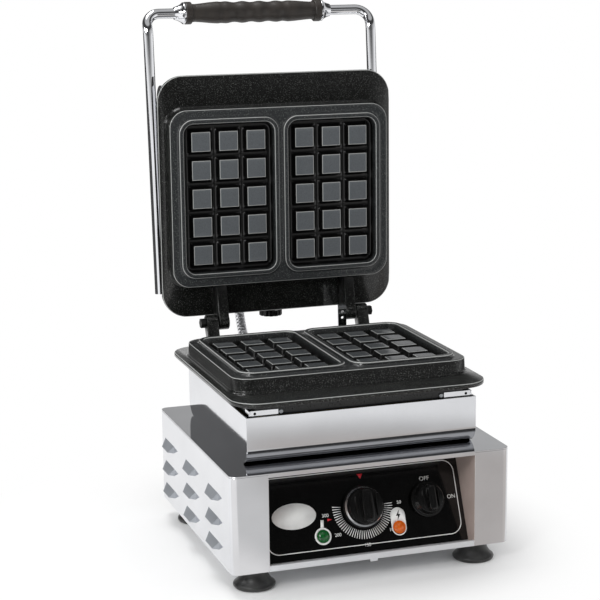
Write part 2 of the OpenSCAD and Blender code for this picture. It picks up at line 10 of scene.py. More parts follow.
import bmesh
import bpy
import numpy as np
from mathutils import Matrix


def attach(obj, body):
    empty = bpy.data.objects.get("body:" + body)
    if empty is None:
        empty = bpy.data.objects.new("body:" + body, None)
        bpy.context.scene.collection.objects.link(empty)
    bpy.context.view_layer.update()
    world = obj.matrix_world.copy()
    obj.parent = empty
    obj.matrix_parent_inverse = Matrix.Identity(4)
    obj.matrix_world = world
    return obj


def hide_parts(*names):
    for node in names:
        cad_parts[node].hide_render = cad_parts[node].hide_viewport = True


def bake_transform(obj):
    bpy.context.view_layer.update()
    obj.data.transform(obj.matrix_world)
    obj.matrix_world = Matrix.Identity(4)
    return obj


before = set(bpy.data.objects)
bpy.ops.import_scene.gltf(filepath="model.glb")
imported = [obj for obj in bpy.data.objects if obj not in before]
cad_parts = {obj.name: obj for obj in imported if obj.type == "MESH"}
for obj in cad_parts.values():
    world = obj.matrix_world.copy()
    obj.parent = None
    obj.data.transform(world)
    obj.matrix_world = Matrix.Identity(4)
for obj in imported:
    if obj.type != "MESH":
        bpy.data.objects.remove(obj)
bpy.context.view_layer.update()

# %% [markdown]
# ## Three ways to say where a point is
# The cabinet is worked out in millimetres about its own middle, the lid as if it were closed,
# and the control panel by how far across it and up its slope a point lies. Each needs one small
# function, so that every later formula can use the easiest of the three.

# %% Frames
MM = 0.001
MID_Y = 51.67            # the part's origin lies this far behind the cabinet's middle
HINGE = np.array([0.0, 154.0, 218.2])
LEAN = math.radians(66.4)
PANEL_FOOT = np.array([0.0, -128.0, 24.4])


def unit(vectors):
    """Each vector divided by its own length."""
    return vectors / np.linalg.norm(vectors, axis=-1, keepdims=True)


def opened(points):
    """Closed lid to open lid, a right angle about the hinge: (x, y, z) from the hinge goes to
    (x, z, -y) from it."""
    away = points - HINGE
    return np.stack([away[..., 0], away[..., 2], -away[..., 1]], axis=-1) + HINGE


def on_panel(points):
    """Across, up the slope and out of the control panel: foot + s * slope + out * normal."""
    slope = np.array([0, math.cos(LEAN), math.sin(LEAN)])
    normal = np.array([0, -math.sin(LEAN), math.cos(LEAN)])
    across = points[..., :1] * np.array([1.0, 0, 0])
    return PANEL_FOOT + across + points[..., 1:2] * slope + points[..., 2:3] * normal


print("panel top", on_panel(np.array([0, 100.0, 0])).round(1))

# %% [markdown]
# ## From formula to mesh
# Nearly every piece here is a grid of points: rings along a path, a profile turned about an axis,
# or a height over a plan. So one function makes quads from any grid, one joins shells, and one
# turns the result into an object that rides on its body.

# %% Grids, shells and pieces
def grid_shell(points, ring=False, caps=(False, False)):
    """Quads between neighbours of a (rows, columns, 3) grid; ring closes each row on itself, and
    caps fill the first and the last row."""
    rows, cols = points.shape[:2]
    i, j = np.meshgrid(np.arange(rows - 1), np.arange(cols if ring else cols - 1), indexing="ij")
    k = (j + 1) % cols
    quads = np.stack([i * cols + j, i * cols + k, (i + 1) * cols + k, (i + 1) * cols + j], axis=-1)
    faces = quads.reshape(-1, 4).tolist()
    if caps[0]:
        faces.append(list(range(cols))[::-1])
    if caps[1]:
        faces.append(list(range((rows - 1) * cols, rows * cols)))
    return points.reshape(-1, 3), faces


def joined(*shells):
    """Several shells as one: each one's face numbers go up by the points before it."""
    starts = np.cumsum([0] + [len(points) for points, _ in shells])
    faces = [[v + int(n) for v in face] for (_, fs), n in zip(shells, starts) for face in fs]
    return np.concatenate([points for points, _ in shells]), faces


def moved(shell, change):
    """The same faces on changed points."""
    return change(shell[0]), shell[1]


def mirrored(shell):
    """The shell and its mirror image in the plane x = 0."""
    return joined(shell, moved(shell, lambda p: p * np.array([-1.0, 1, 1])))


def piece(name, shell, finish, body, replaces=(), crease=35, weld=0.01):
    """Object with its place in its mesh: (point - (0, MID_Y, 0)) * MM, millimetres about the
    cabinet's middle to metres about the part's origin."""
    points, faces = shell
    mesh = bpy.data.meshes.new(name)
    mesh.from_pydata(((points - [0, MID_Y, 0]) * MM).tolist(), [], faces)
    work = bmesh.new()
    work.from_mesh(mesh)
    bmesh.ops.remove_doubles(work, verts=work.verts, dist=weld * MM)
    bmesh.ops.recalc_face_normals(work, faces=work.faces)
    work.to_mesh(mesh)
    work.free()
    mesh.shade_smooth()
    mesh.set_sharp_from_angle(angle=math.radians(crease))
    mesh.materials.append(finish)
    obj = bpy.data.objects.new(name, mesh)
    bpy.context.scene.collection.objects.link(obj)
    if body:
        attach(obj, body)
    if replaces:
        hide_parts(*replaces)
    print(f"{name}: {len(mesh.vertices)} points, {len(mesh.polygons)} faces, on {body}")
    return obj


square = np.array([[[0.0, 0, 0], [1, 0, 0]], [[0, 1, 0], [1, 1, 0]]])
print("one square of grid:", grid_shell(square))

# %% [markdown]
# ## Colours and nodes
# A colour is written as the sRGB value that the eye sees, but a shader counts light, so one
# function turns the first into the second. A finish is a small tree of nodes. It could be drawn by
# hand in the shader editor, but a few lines say the same and can be read from top to bottom, so
# one function adds a node of any kind and gives back the output that the next node takes.

# %% Colours and nodes
def linear(code):
    """sRGB hex to linear light: (c + 0.055) / 1.055 to the power 2.4, or c / 12.92 when dark."""
    c = np.array([int(code[k:k + 2], 16) for k in (1, 3, 5)]) / 255
    return (*np.where(c <= 0.04045, c / 12.92, ((c + 0.055) / 1.055) ** 2.4), 1.0)


def add(tree, kind, inputs=(), out=0, **settings):
    """One node with its settings. Its inputs go in the sockets' order or by name or number, and
    each is a value, another node's output, or None for a socket left as it is."""
    node = tree.nodes.new("ShaderNode" + kind)
    for key, value in settings.items():
        setattr(node, key, value)
    for key, value in inputs.items() if isinstance(inputs, dict) else enumerate(inputs):
        if isinstance(value, bpy.types.NodeSocket):
            tree.links.new(value, node.inputs[key])
        elif value is not None:
            node.inputs[key].default_value = value
    return node.outputs[out]


def start(name):
    """Empty material: the material, its tree, its Principled shader, and Object coordinates."""
    material = bpy.data.materials.new(name)
    material.use_nodes = True
    tree = material.node_tree
    return material, tree, tree.nodes["Principled BSDF"], add(tree, "TexCoord", out="Object")


def connect(tree, shader, **links):
    """Outputs into the shader's sockets, by the socket's name with _ for a space."""
    for key, value in links.items():
        tree.links.new(value, shader.inputs[key.replace("_", " ")])


print("middle grey", linear("#777777"))

# %% [markdown]
# ## Metals
# Most of the iron is stainless sheet. The mill rolls it bright, and then it is left as it is,
# brushed with a belt, or drawn into a form, which dulls it. The fittings are zinc plated, blackened
# or chromed. All of these are one thing to the eye: a metal with a grain and slow clouds in its
# polish. So one function makes every metal, and the values say which one it is. A belt's real grain
# is a few hundredths of a millimetre, too fine to show, so it is drawn ten times as coarse. The
# spangle of zinc and the slow waves under chrome have about their real size. A surface so finely
# rough that it scatters light as paint does is less than fully metallic.

# %% Metals
CLOUD = 45               # millimetres across one cloud in a metal's polish


def metal(name, light, dark, rough, grain_mm, depth, stretch, metallic=1.0):
    """Colour goes from light to dark by the clouds. Roughness goes from 0.8 to 1.25 times rough by
    the grain, which also stands depth millimetres high. A stretch below 1 draws it out that way."""
    material, tree, shader, where = start(name)
    shader.inputs["Metallic"].default_value = metallic
    cloud = add(tree, "TexNoise", {"Vector": where, "Scale": 1 / (CLOUD * MM), "Detail": 3}, "Fac")
    along = add(tree, "Mapping", {"Vector": where, "Scale": stretch})
    grain = add(tree, "TexNoise", {"Vector": along, "Scale": 1 / (grain_mm * MM), "Detail": 2},
                "Fac")
    share = add(tree, "MapRange", (cloud, 0.3, 0.7, 0, 1))
    colour = add(tree, "Mix", {0: share, 6: linear(light), 7: linear(dark)}, 2, data_type="RGBA")
    bump = add(tree, "Bump", {"Height": grain, "Strength": 0.25, "Distance": depth * MM})
    gloss = add(tree, "MapRange", (grain, 0.3, 0.7, rough * 0.8, rough * 1.25))
    connect(tree, shader, Base_Color=colour, Normal=bump, Roughness=gloss)
    return material


# rolled bright: nearly a mirror, with faint upright lines from the last polish
polished = metal("bright_annealed_stainless", "#e2e3e6", "#dbdcdf", 0.07, 0.5, 0.003, (1, 1, 0.04))
# belt brushed across: warm grey, with reflections drawn out into soft streaks
satin = metal("satin_brushed_stainless", "#cbc3be", "#bdb5b0", 0.34, 0.6, 0.01, (0.04, 1, 1))
# pressed: pale and even, too dull to mirror anything
pressed = metal("pressed_stainless", "#e6e8eb", "#dcdee1", 0.45, 0.6, 0.01, (1, 1, 1), 0.5)
# louvres pressed in the sheet: a cool mid grey, which is painted shade, against which the bright
# panel stands out
louvre_shade_steel = metal("louvre_painted_shade_stainless", "#a6aab0", "#999da3", 0.35, 0.6, 0.01, (1, 1, 1), 0.5)
# the cheeks' inner faces: brushed, with a duller and warmer tint
cheek_steel = metal("brushed_cheek_stainless", "#cfbcb4", "#bba9a1", 0.42, 0.6, 0.01,
                    (0.04, 1, 1), 0.25)
# turned: white metal with a soft sheen
aluminium = metal("turned_aluminium", "#e8e9ea", "#dddee0", 0.22, 0.4, 0.004, (1, 1, 1))
# oil blackened: dark, with a low gloss
blackened = metal("blackened_bolt_steel", "#4c4c4c", "#383838", 0.35, 1.5, 0.01, (1, 1, 1))
# zinc plated: bluish grey, a little cloudy
zinc = metal("zinc_plated_steel", "#b8bcc0", "#9ea3a8", 0.33, 2.0, 0.01, (1, 1, 1))
# galvanised strip: pale and soft, so each rib shows as a light and a dark line
conduit_steel = metal("galvanised_conduit", "#ececee", "#dcdde0", 0.3, 1.0, 0.01, (1, 1, 1))
# chromed: the sharpest mirror on the iron
chrome = metal("chromed_tube", "#ecedf0", "#e2e3e6", 0.05, 8.0, 0.002, (1, 1, 1))
# a drawn copper tube and a heater's sheath, both inside: warm and dull, and brown from heat
copper = metal("copper_capillary", "#b87348", "#a5623b", 0.3, 1.0, 0.01, (1, 1, 1))
sheath = metal("oxidised_heater_sheath", "#5a554f", "#3e3a36", 0.5, 2.0, 0.02, (1, 1, 1))
print("last metal", sheath.name, "with", len(sheath.node_tree.nodes), "nodes")

# %% [markdown]
# ## Enamelled cast iron
# Plates like these are cast in sand and enamelled black. Use rubs the flat tops of the pegs to
# grey, and their grey also holds a painted reflection of the bright floor. The channels between
# them are black with old batter and painted shade, and the edges are pale: a painted highlight
# along each, with the enamel worn there. A noise can't know where an edge is, so each point of the
# casting carries three values, set when the plates are cast below, and the material mixes its
# colours by them. The enamel's pale specks are painted glints, drawn 0.6 mm across.

# %% Cast iron
iron, tree, shader, where = start("enamelled_cast_iron")
grit = add(tree, "TexNoise", {"Vector": where, "Scale": 1 / (0.8 * MM), "Detail": 3}, "Fac")
pits = add(tree, "TexNoise", {"Vector": where, "Scale": 1 / (3.5 * MM), "Detail": 2}, "Fac")
glint_noise = add(tree, "TexNoise", {"Vector": where, "Scale": 1 / (0.6 * MM), "Detail": 0}, "Fac")
painted_glint = add(tree, "MapRange", (glint_noise, 0.7, 0.78, 0, 1))
cloudy = add(tree, "MapRange", (grit, 0.2, 0.8, 0, 1))
rubbed_and_sheen = add(tree, "Mix", {0: cloudy, 6: linear("#525659"), 7: linear("#62666a")}, 2,
             data_type="RGBA")
# black enamel with painted glints, then over it the grey tops (rubbed, with a painted reflection),
# the black channels (batter and painted shade) and the pale edges (a painted highlight, with wear)
coat = add(tree, "Mix", {0: painted_glint, 6: linear("#070807"), 7: linear("#7c7f7b")}, 2, data_type="RGBA")
layers = {"tops": rubbed_and_sheen, "channels": linear("#060606"), "edges": linear("#c0c2c0")}
for place, colour in layers.items():
    share = add(tree, "Attribute", out="Fac", attribute_name=place)
    coat = add(tree, "Mix", {0: share, 6: coat, 7: colour}, 2, data_type="RGBA")
fine = add(tree, "Bump", {"Height": grit, "Strength": 0.5, "Distance": 0.12 * MM})
rough_cast = add(tree, "Bump", {"Height": pits, "Strength": 0.5, "Distance": 0.25 * MM,
                                "Normal": fine})
glass = add(tree, "Bump", {"Height": grit, "Strength": 0.3, "Distance": 0.06 * MM})
gloss = add(tree, "MapRange", (grit, 0.3, 0.7, 0.25, 0.45))
for socket, value in (("Specular IOR Level", 0.2), ("Coat Weight", 0.7), ("Coat Roughness", 0.1)):
    shader.inputs[socket].default_value = value
connect(tree, shader, Base_Color=coat, Normal=rough_cast, Coat_Normal=glass, Roughness=gloss)
print(iron.name, "with", len(tree.nodes), "nodes")

# %% [markdown]
# ## Plastics, rubber, ink and board
# The knobs are moulded phenolic, the grip a thermoset that stays cool, the feet nitrile rubber, and
# the panel a glossy film with screen-printed ink. A mould leaves its own fine grain on all of them,
# and the colour is never quite even. So one function makes each from two close colours, a
# roughness and a grain.

# %% Moulded finishes
def moulded(name, light, dark, rough, grain_mm, depth=0.02):
    """Colour goes from light to dark by clouds 12 mm across, and roughness from 0.85 to 1.15 times
    rough by the grain, which stands depth millimetres high."""
    material, tree, shader, where = start(name)
    grain = add(tree, "TexNoise", {"Vector": where, "Scale": 1 / (grain_mm * MM), "Detail": 2},
                "Fac")
    cloud = add(tree, "TexNoise", {"Vector": where, "Scale": 1 / (12 * MM), "Detail": 2}, "Fac")
    share = add(tree, "MapRange", (cloud, 0.35, 0.65, 0, 1))
    colour = add(tree, "Mix", {0: share, 6: linear(light), 7: linear(dark)}, 2, data_type="RGBA")
    bump = add(tree, "Bump", {"Height": grain, "Strength": 0.3, "Distance": depth * MM})
    gloss = add(tree, "MapRange", (grain, 0.3, 0.7, rough * 0.85, rough * 1.15))
    connect(tree, shader, Base_Color=colour, Normal=bump, Roughness=gloss)
    return material


# polyester film: deep black under a clear gloss
film = moulded("gloss_black_panel_film", "#050505", "#020202", 0.12, 3.0, 0.002)
# screen ink: opaque, and duller than the film under it
print_white = moulded("white_screen_print", "#f2f2f0", "#e9e9e7", 0.4, 0.8, 0.004)
print_red = moulded("red_screen_print", "#d3202f", "#c01c2a", 0.4, 0.8, 0.004)
print_black = moulded("black_screen_print", "#0a0a0a", "#060606", 0.4, 0.8, 0.004)
# nitrile rubber: dark grey with a soft bloom
rubber = moulded("nitrile_rubber_foot", "#3a3a39", "#262626", 0.36, 0.7, 0.05)
# phenolic from a polished mould: black, with sharp lights along its ribs
phenolic = moulded("black_phenolic", "#141414", "#0e0e0e", 0.14, 0.8, 0.004)
# thermoset grip: brown black, with a soft light on each wave
grip_brown = moulded("brown_black_thermoset_grip", "#332e2a", "#2a2623", 0.42, 1.0, 0.02)
# inside the cabinet: urea switch parts, a painted case, mineral wool and tray enamel
ivory = moulded("ivory_urea_moulding", "#e3dcc8", "#d8d0ba", 0.4, 1.0)
slate = moulded("painted_thermostat_case", "#7c8083", "#6c7073", 0.45, 1.2)
board = moulded("mineral_wool_board", "#c9b98a", "#b5a475", 0.9, 1.5, 0.4)
tray_black = moulded("black_tray_enamel", "#2d2e2e", "#252626", 0.3, 1.5, 0.02)
print("last moulding", tray_black.name)

# %% [markdown]
# ## Lamp lenses
# A pilot lamp's lens is clear coloured acrylic with small facets moulded inside, which break up the
# lamp's light. Real refraction would show mostly the dark behind it, so the lens is an opaque gloss
# whose colour goes from deep to bright over each facet, a painted sparkle of that light, and cells
# 1.8 mm across stand for them.

# %% Lenses
def lens_acrylic(name, deep, bright):
    """Colour goes from deep at a facet's middle to bright at its border, a painted sparkle, and
    the facets are 0.3 mm deep."""
    material, tree, shader, where = start(name)
    facet = add(tree, "TexVoronoi", {"Vector": where, "Scale": 1 / (1.8 * MM)}, "Distance")
    colour = add(tree, "Mix", {0: facet, 6: linear(deep), 7: linear(bright)}, 2, data_type="RGBA")
    bump = add(tree, "Bump", {"Height": facet, "Strength": 0.5, "Distance": 0.3 * MM})
    shader.inputs["Roughness"].default_value = 0.08
    shader.inputs["Coat Weight"].default_value = 0.6
    connect(tree, shader, Base_Color=colour, Normal=bump)
    return material


# green and amber acrylic: wet-looking, with a broken sparkle painted into the colour
green = lens_acrylic("green_acrylic_lens", "#0d6a2a", "#0a3d1c")
amber = lens_acrylic("amber_acrylic_lens", "#e8731a", "#c24c0c")
print("lenses", green.name, amber.name)

# %% [markdown]
# ## Dress the parts that stay
# The frame's solids come with the slot names of the record. Most of those inside the cabinet have
# the right shape already, and nothing is gained by making them again. So each slot is given its
# finish first, and only the pieces below are made anew.

# %% Give each slot its finish
finishes = {
    "polished_stainless": polished, "satin_stainless": satin, "zinc_steel": zinc,
    "conduit_steel": conduit_steel, "panel_film": film, "foot_rubber": rubber,
    "thermostat_case": slate, "bulb_copper": copper, "black_plastic": phenolic,
    "ivory_plastic": ivory, "green_lens": green, "amber_lens": amber, "insulation_board": board,
    "tray_enamel": tray_black, "element_sheath": sheath, "cast_iron": iron,
    "handle_chrome": chrome, "grip_plastic": grip_brown,
}
slot_of = {}             # the slot of each node
for name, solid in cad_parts.items():
    for slot in solid.material_slots:
        slot_of[name] = next(key for key in finishes if key in slot.material.name)
        slot.material = finishes[slot_of[name]]
print("slots in use", sorted(set(slot_of.values())))

# %% [markdown]
# ## Folded sheet and hardware
# Sheet folded on a press brake has no knife edges, and neither has a turned or stamped fitting. A
# solid's own shape is already right, so building each one anew would only risk its fit. Instead a
# copy of the solid is merged, its flat faces are made whole, and a small bevel rounds every edge,
# which then catches a line of light.

# %% Worked copies of solids
def worked(node, finish, body, edge=0.3, crease=32, others=()):
    """A solid's own shape with its loose triangles merged, flat faces made whole and every edge
    rounded by a small bevel. others are further finishes, each for the faces its test picks."""
    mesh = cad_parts[node].data.copy()
    mesh.name = node + "_sheet"
    work = bmesh.new()
    work.from_mesh(mesh)
    bmesh.ops.remove_doubles(work, verts=work.verts, dist=2e-6)
    bmesh.ops.dissolve_limit(work, angle_limit=math.radians(0.6), verts=work.verts,
                             edges=work.edges)
    mesh.materials.clear()
    mesh.materials.append(finish)
    for number, (other, picks) in enumerate(others, 1):
        mesh.materials.append(other)
        for face in work.faces:
            if picks(face.calc_center_median() / MM, face.normal):
                face.material_index = number
    work.to_mesh(mesh)
    work.free()
    mesh.shade_smooth()
    mesh.set_sharp_from_angle(angle=math.radians(crease))
    obj = bpy.data.objects.new(node + "_finished", mesh)
    bpy.context.scene.collection.objects.link(obj)
    if edge:
        bevel = obj.modifiers.new("edges", "BEVEL")
        bevel.width, bevel.segments, bevel.limit_method = edge * MM, 2, "ANGLE"
        bevel.angle_limit, bevel.use_clamp_overlap = math.radians(crease), True
    normals = obj.modifiers.new("flat faces", "WEIGHTED_NORMAL")
    normals.keep_sharp = True
    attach(obj, body)
    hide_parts(node)
    print(f"{obj.name}: {len(mesh.polygons)} faces, on {body}")
    return obj


print("a solid to work:", len(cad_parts["side_panel_left"].data.polygons), "loose triangles")

# %% [markdown]
# ## Which edges and which faces
# Each piece is named with its finish and the width of its rounded edge in millimetres. The inner
# faces of the cheeks beside the control panel take a duller, warmer finish, and the louvres a
# darker grey, which is painted shade. A test on a face's place picks them out, because a copy of a
# solid carries no names for its faces.

# %% Round the edges
CHEEK_X, CHEEK_Y = 113.0, -120.0   # a cheek's inner face is within 2 mm of X, in front of Y
SIDE_X = 152.5           # the side panels' outer faces


def cheek(centre, normal):
    """True for the inner face of a side panel's cheek."""
    upright = abs(normal.x) > 0.9
    return upright and abs(abs(centre.x) - CHEEK_X) < 2 and centre.y < CHEEK_Y


def louvre(centre, normal):
    """True for the hoods that stand out of a side panel."""
    return abs(centre.x) > SIDE_X + 0.1


for node in ("side_panel_left", "side_panel_right"):
    worked(node, polished, "cabinet", 0.35, others=((cheek_steel, cheek), (louvre_shade_steel, louvre)))
for node, edge in (("top_sheet", 0.4), ("lower_housing", 0.4), ("corner_clips", 0.3),
                   ("lid_stop", 0.3)):
    worked(node, polished, "cabinet", edge)
worked("lid_cover", polished, "lid", 0.4)
for node, finish, edge in (("bottom_pan", pressed, 0.4), ("rear_panel", satin, 0.4),
                           ("lower_tray", tray_black, 0.4), ("conduit_base_gland", zinc, 0.3),
                           ("cord_gland", phenolic, 0.3), ("clip_screws", zinc, 0.15)):
    worked(node, finish, "cabinet", edge)
for node, finish, edge in (("hinge_bolts", blackened, 0.3), ("upper_tray", tray_black, 0.4),
                           ("conduit_lid_gland", zinc, 0.3), ("rear_buffer", phenolic, 0.5),
                           ("handle_spacers", zinc, 0.3), ("handle_screws", zinc, 0.2)):
    worked(node, finish, "lid", edge)

# %% [markdown]
# ## The cast plates
# A waffle plate is one casting: a flange, a drafted wall with a ledge round its top, a rounded
# bead round each cavity, and pegs standing in it. Half of it is worked out and mirrored. Every
# ring of the wall and bead is the cavity's rounded outline, moved out by a distance, so the
# corners stay true, and the pegs are a height over the cavity's floor.

# %% Plate outlines and heights
PITCH = 32.4             # from peg to peg, both ways
CAVITY_X = 61.5          # a cavity's middle, right or left of the plate's
CORE_X, CORE_Y = 41.5, 73.55   # half size of a cavity's outline, inside its corner arcs
CAVITY_R = 12.0          # radius of those arcs at the rim
FLOOR_R = 8.0            # and at the floor
FLOOR_Z = -13.0          # height of the floor, from the rim
PEG_SOFT, PEG_DROP = 1.6, 0.4   # width and depth of the round where two sides of a peg meet
# a peg rises above the floor by this much at each distance from its middle
PEG_HALF = [0, 5, 10.1, 10.7, 11.1, 12.4, 12.75, 13.2, 13.8, 14.5, 15.3, 16.2]
PEG_RISE = [8.5, 8.5, 8.5, 8.32, 7.8, 2.41, 1.77, 1.24, 0.72, 0.35, 0.10, 0.0]
# the cavity's wall: distance from the core, and height
WALL = [(8, -13), (9.3, -12.85), (10.1, -12.2), (10.5, -11), (11.5, -3.6)]
# the bead: height at each distance past the cavity's outline
BEAD_T = [-0.5, 0, 0.3, 0.9, 1.6, 3.6, 4.3, 4.9, 5.2, 5.5, 6.2, 8.0]
BEAD_Z = [-3.6, -1.5, -0.6, -0.12, 0, 0, -0.12, -0.6, -1.5, -3.0, -3.8, -4.0]


def bead_height(x, y):
    """Height of the bead and ledge, by the distance past the nearer cavity's outline. The two
    beads stay apart, so a flat valley runs between them and opens into the ledge at both ends."""
    def outside(cx):
        over = np.stack([np.abs(x - cx) - CORE_X, np.abs(y) - CORE_Y], axis=-1)
        return np.linalg.norm(np.maximum(over, 0), axis=-1) - CAVITY_R
    return np.interp(np.minimum(outside(CAVITY_X), outside(-CAVITY_X)), BEAD_T, BEAD_Z)


def peg_lines(count, edge):
    """Grid lines for a row of pegs: every corner of the peg's profile, and the floor's edge."""
    centres = (np.arange(count) - (count - 1) / 2) * PITCH
    steps = np.array(PEG_HALF)
    lines = (centres[:, None] + np.concatenate([-steps, steps])).ravel()
    lines = lines[np.abs(lines) < edge - 0.3]
    return np.unique(np.concatenate([lines, [-edge, -edge + 2, edge - 2, edge]]).round(4))


def peg_height(u, count):
    """Peg profile repeated at the pitch, and flat floor past the last peg."""
    reach = (count - 1) / 2 * PITCH
    within = np.abs((u + PITCH / 2) % PITCH - PITCH / 2)
    away = np.where(np.abs(u) > reach, np.abs(u) - reach, within)
    return np.interp(away, PEG_HALF, PEG_RISE)


print("peg lines along a cavity", len(peg_lines(5, CORE_Y + FLOOR_R)))

# %% [markdown]
# ## Half a plate
# The casting is a height over a plan inside a cavity, and rings round it outside. Sculpting or
# cutting boxes out of a block would leave sharp or uneven corners, but here each ring is the
# cavity's outline moved out by a distance, so every corner stays round, and neighbouring rings
# share their points, so the whole half is one skin.

# %% One half of a plate
LEDGE_X, LEDGE_Y, LEDGE_R = 110.0, 81.0, 19.2   # the ledge's outline: a core and its rounding
SQUARE = 3.5             # past a floor's core the plan is square this far, and then turns round


def cavity_floor():
    """Height over a plan: floor + min(peg profile along x, peg profile along y), with a smooth
    corner where they meet. The plan's corners are drawn in to the outline's arcs."""
    xs = peg_lines(3, CORE_X + FLOOR_R)
    ys = peg_lines(5, CORE_Y + FLOOR_R)
    x, y = np.meshgrid(xs, ys, indexing="ij")
    core = np.stack([np.clip(x, -CORE_X, CORE_X), np.clip(y, -CORE_Y, CORE_Y)], axis=-1)
    past = np.stack([x, y], axis=-1) - core
    longest = np.abs(past).max(axis=-1)
    length = np.maximum(np.linalg.norm(past, axis=-1), 1e-9)
    pull = np.clip((longest - SQUARE) / (FLOOR_R - SQUARE), 0, 1)
    plan = core + past * (1 + pull * (longest / length - 1))[..., None]
    a, b = peg_height(plan[..., 0], 3), peg_height(plan[..., 1], 5)
    soft = np.maximum(PEG_SOFT - np.abs(a - b), 0) / PEG_SOFT
    low = np.minimum(a, b)
    z = FLOOR_Z + np.maximum(low - soft**2 * PEG_DROP * (low > PEG_DROP), 0)
    return np.concatenate([plan, z[..., None]], axis=-1)


def border(grid):
    """The grid's outer loop of points, once round."""
    return np.concatenate([grid[:-1, 0], grid[-1, :-1], grid[:0:-1, -1], grid[0, :0:-1]])


def half_plate():
    """Floor, wall, bead, ledge, outer wall and flange for x > 0. Each ring is the cavity's core
    moved out by a distance, and neighbouring rings share their points."""
    floor = cavity_floor()
    loop = border(floor)[:, :2]
    core = np.clip(loop, [-CORE_X, -CORE_Y], [CORE_X, CORE_Y])
    out = unit(loop - core)
    centre = core + [CAVITY_X, 0]
    rings = [np.column_stack([centre + r * out, np.full(len(loop), float(z))]) for r, z in WALL]
    for t in BEAD_T[1:]:
        ring = centre + (CAVITY_R + t) * out
        ring[:, 0] = np.maximum(ring[:, 0], 0)
        rings.append(np.column_stack([ring, bead_height(ring[:, 0], ring[:, 1])]))
    # the ledge's outer edge: the pedestal's outline, cut at x = 0
    with np.errstate(divide="ignore"):
        to_x = np.where(out[:, 0] < 0, centre[:, 0] / np.maximum(-out[:, 0], 1e-9), 1e9)
        to_y = (LEDGE_Y + LEDGE_R - np.abs(centre[:, 1])) / np.maximum(np.abs(out[:, 1]), 1e-9)
    inner = (out[:, 0] < -1e-6)
    edge = centre + out * np.minimum(to_x, to_y)[:, None]
    outer_core = centre * [LEDGE_X / (CAVITY_X + CORE_X), LEDGE_Y / CORE_Y]
    outer_core[:, 0] = np.where(centre[:, 0] < CAVITY_X, centre[:, 0], outer_core[:, 0])
    edge = np.where(inner[:, None], edge, outer_core + LEDGE_R * out)
    edge[:, 0] = np.maximum(edge[:, 0], 0)
    last = rings[-1][:, :2]
    for share in (0.35, 0.7, 1.0):
        ring = last + (edge - last) * share
        rings.append(np.column_stack([ring, bead_height(ring[:, 0], ring[:, 1])]))
    top = grid_shell(np.array(rings), ring=True)
    floor_shell = grid_shell(floor + [CAVITY_X, 0, 0])
    # the outer wall and flange, from the ledge's edge down, along the part of the edge with x > 0
    rim = rings[-1]
    base = np.clip(rim[:, :2], [0, -LEDGE_Y], [LEDGE_X, LEDGE_Y])
    aim = rim[:, :2] - base
    on_side = (np.abs(aim[:, 1]) < 1e-6) & (rim[:, 0] < 1e-6)
    order = np.argsort(np.arctan2(rim[~on_side, 1], rim[~on_side, 0] + 1e-9))
    base, aim = base[~on_side][order], unit(aim[~on_side][order])
    seam_low, seam_high = np.array([[0.0, -LEDGE_Y]]), np.array([[0.0, LEDGE_Y]])
    base = np.concatenate([seam_low, base, seam_high])
    aim = np.concatenate([[[0.0, -1]], aim, [[0.0, 1]]])
    # width and depth from the middle, corner radius and height, from the ledge down
    profile = [(129.2, 100.2, 19.2, -4.0), (129.75, 100.75, 19.75, -4.2), (130, 101, 20, -4.8),
               (130.5, 101.5, 20.5, -16.6), (130.9, 101.9, 20.9, -17.8),
               (131.8, 102.8, 21.8, -18.5), (132.2, 103.2, 22.2, -19.2),
               (132.5, 103.5, 22.5, -20.3), (133.1, 104.1, 23.1, -20.7), (138.5, 137.5, 29, -20.7),
               (139.2, 138.2, 29.7, -20.95), (139.5, 138.5, 30, -21.6), (139.5, 138.5, 30, -25.0),
               (139.0, 138.0, 29.5, -25.6), (138, 137, 28.5, -25.7)]
    skirt = np.array([np.column_stack([base * [(w - r) / LEDGE_X, (d - r) / LEDGE_Y] + r * aim,
                                       np.full(len(base), z)]) for w, d, r, z in profile])
    return joined(floor_shell, top, grid_shell(skirt, caps=(False, True)))


half = half_plate()
plate = mirrored(half)
print("plate half height", half[0].min(axis=0).round(2), half[0].max(axis=0).round(2))

# %% [markdown]
# ## Hinge lugs
# Two webs stand on each plate, with an eye round the bolt, and are cast in one with it. A web is a
# flat outline of even width, so it is drawn as its side view and carried across, a little smaller
# at both faces, which rounds their edges.

# %% Hinge lugs
def plate_web(outline, x0, width, soft=0.8):
    """Web of even width: its [y, z] outline as rings across from x0, drawn in towards its middle
    by up to soft at both faces."""
    outline = np.array(outline, float)
    middle = outline.mean(axis=0)
    inward = unit(middle - outline)
    steps = [(0, soft), (soft * 0.3, soft * 0.3), (soft, 0), (width - soft, 0),
             (width - soft * 0.3, soft * 0.3), (width, soft)]
    rings = [np.column_stack([np.full(len(outline), x0 + across), outline + inward * pull])
             for across, pull in steps]
    return grid_shell(np.array(rings), ring=True, caps=(True, True))


def eye(start, end, r=9.0, steps=14):
    """Arc of the hinge eye from one angle to another, in degrees from +Y towards +Z."""
    a = np.radians(np.linspace(start, end, steps))
    return np.column_stack([HINGE[1] + r * np.cos(a), HINGE[2] + r * np.sin(a)])


HINGE_MID = 4.3          # the middle between the hinges, right of the cabinet's
lower_web = np.vstack([eye(0, 180), [[137, 193], [128, 193], [128, 189], [148, 189]]])
upper_web = np.vstack([eye(-140, 0), [[156, 241], [148, 241], [113, 237], [113, 221]]])


def both_hinges(outline, x0, width):
    """The web at the right hinge and its mirror image at the left one, about their own middle."""
    shell = mirrored(plate_web(outline, x0, width))
    return moved(shell, lambda p: p + [HINGE_MID, 0, 0])


print("web outlines", len(lower_web), len(upper_web), "points")

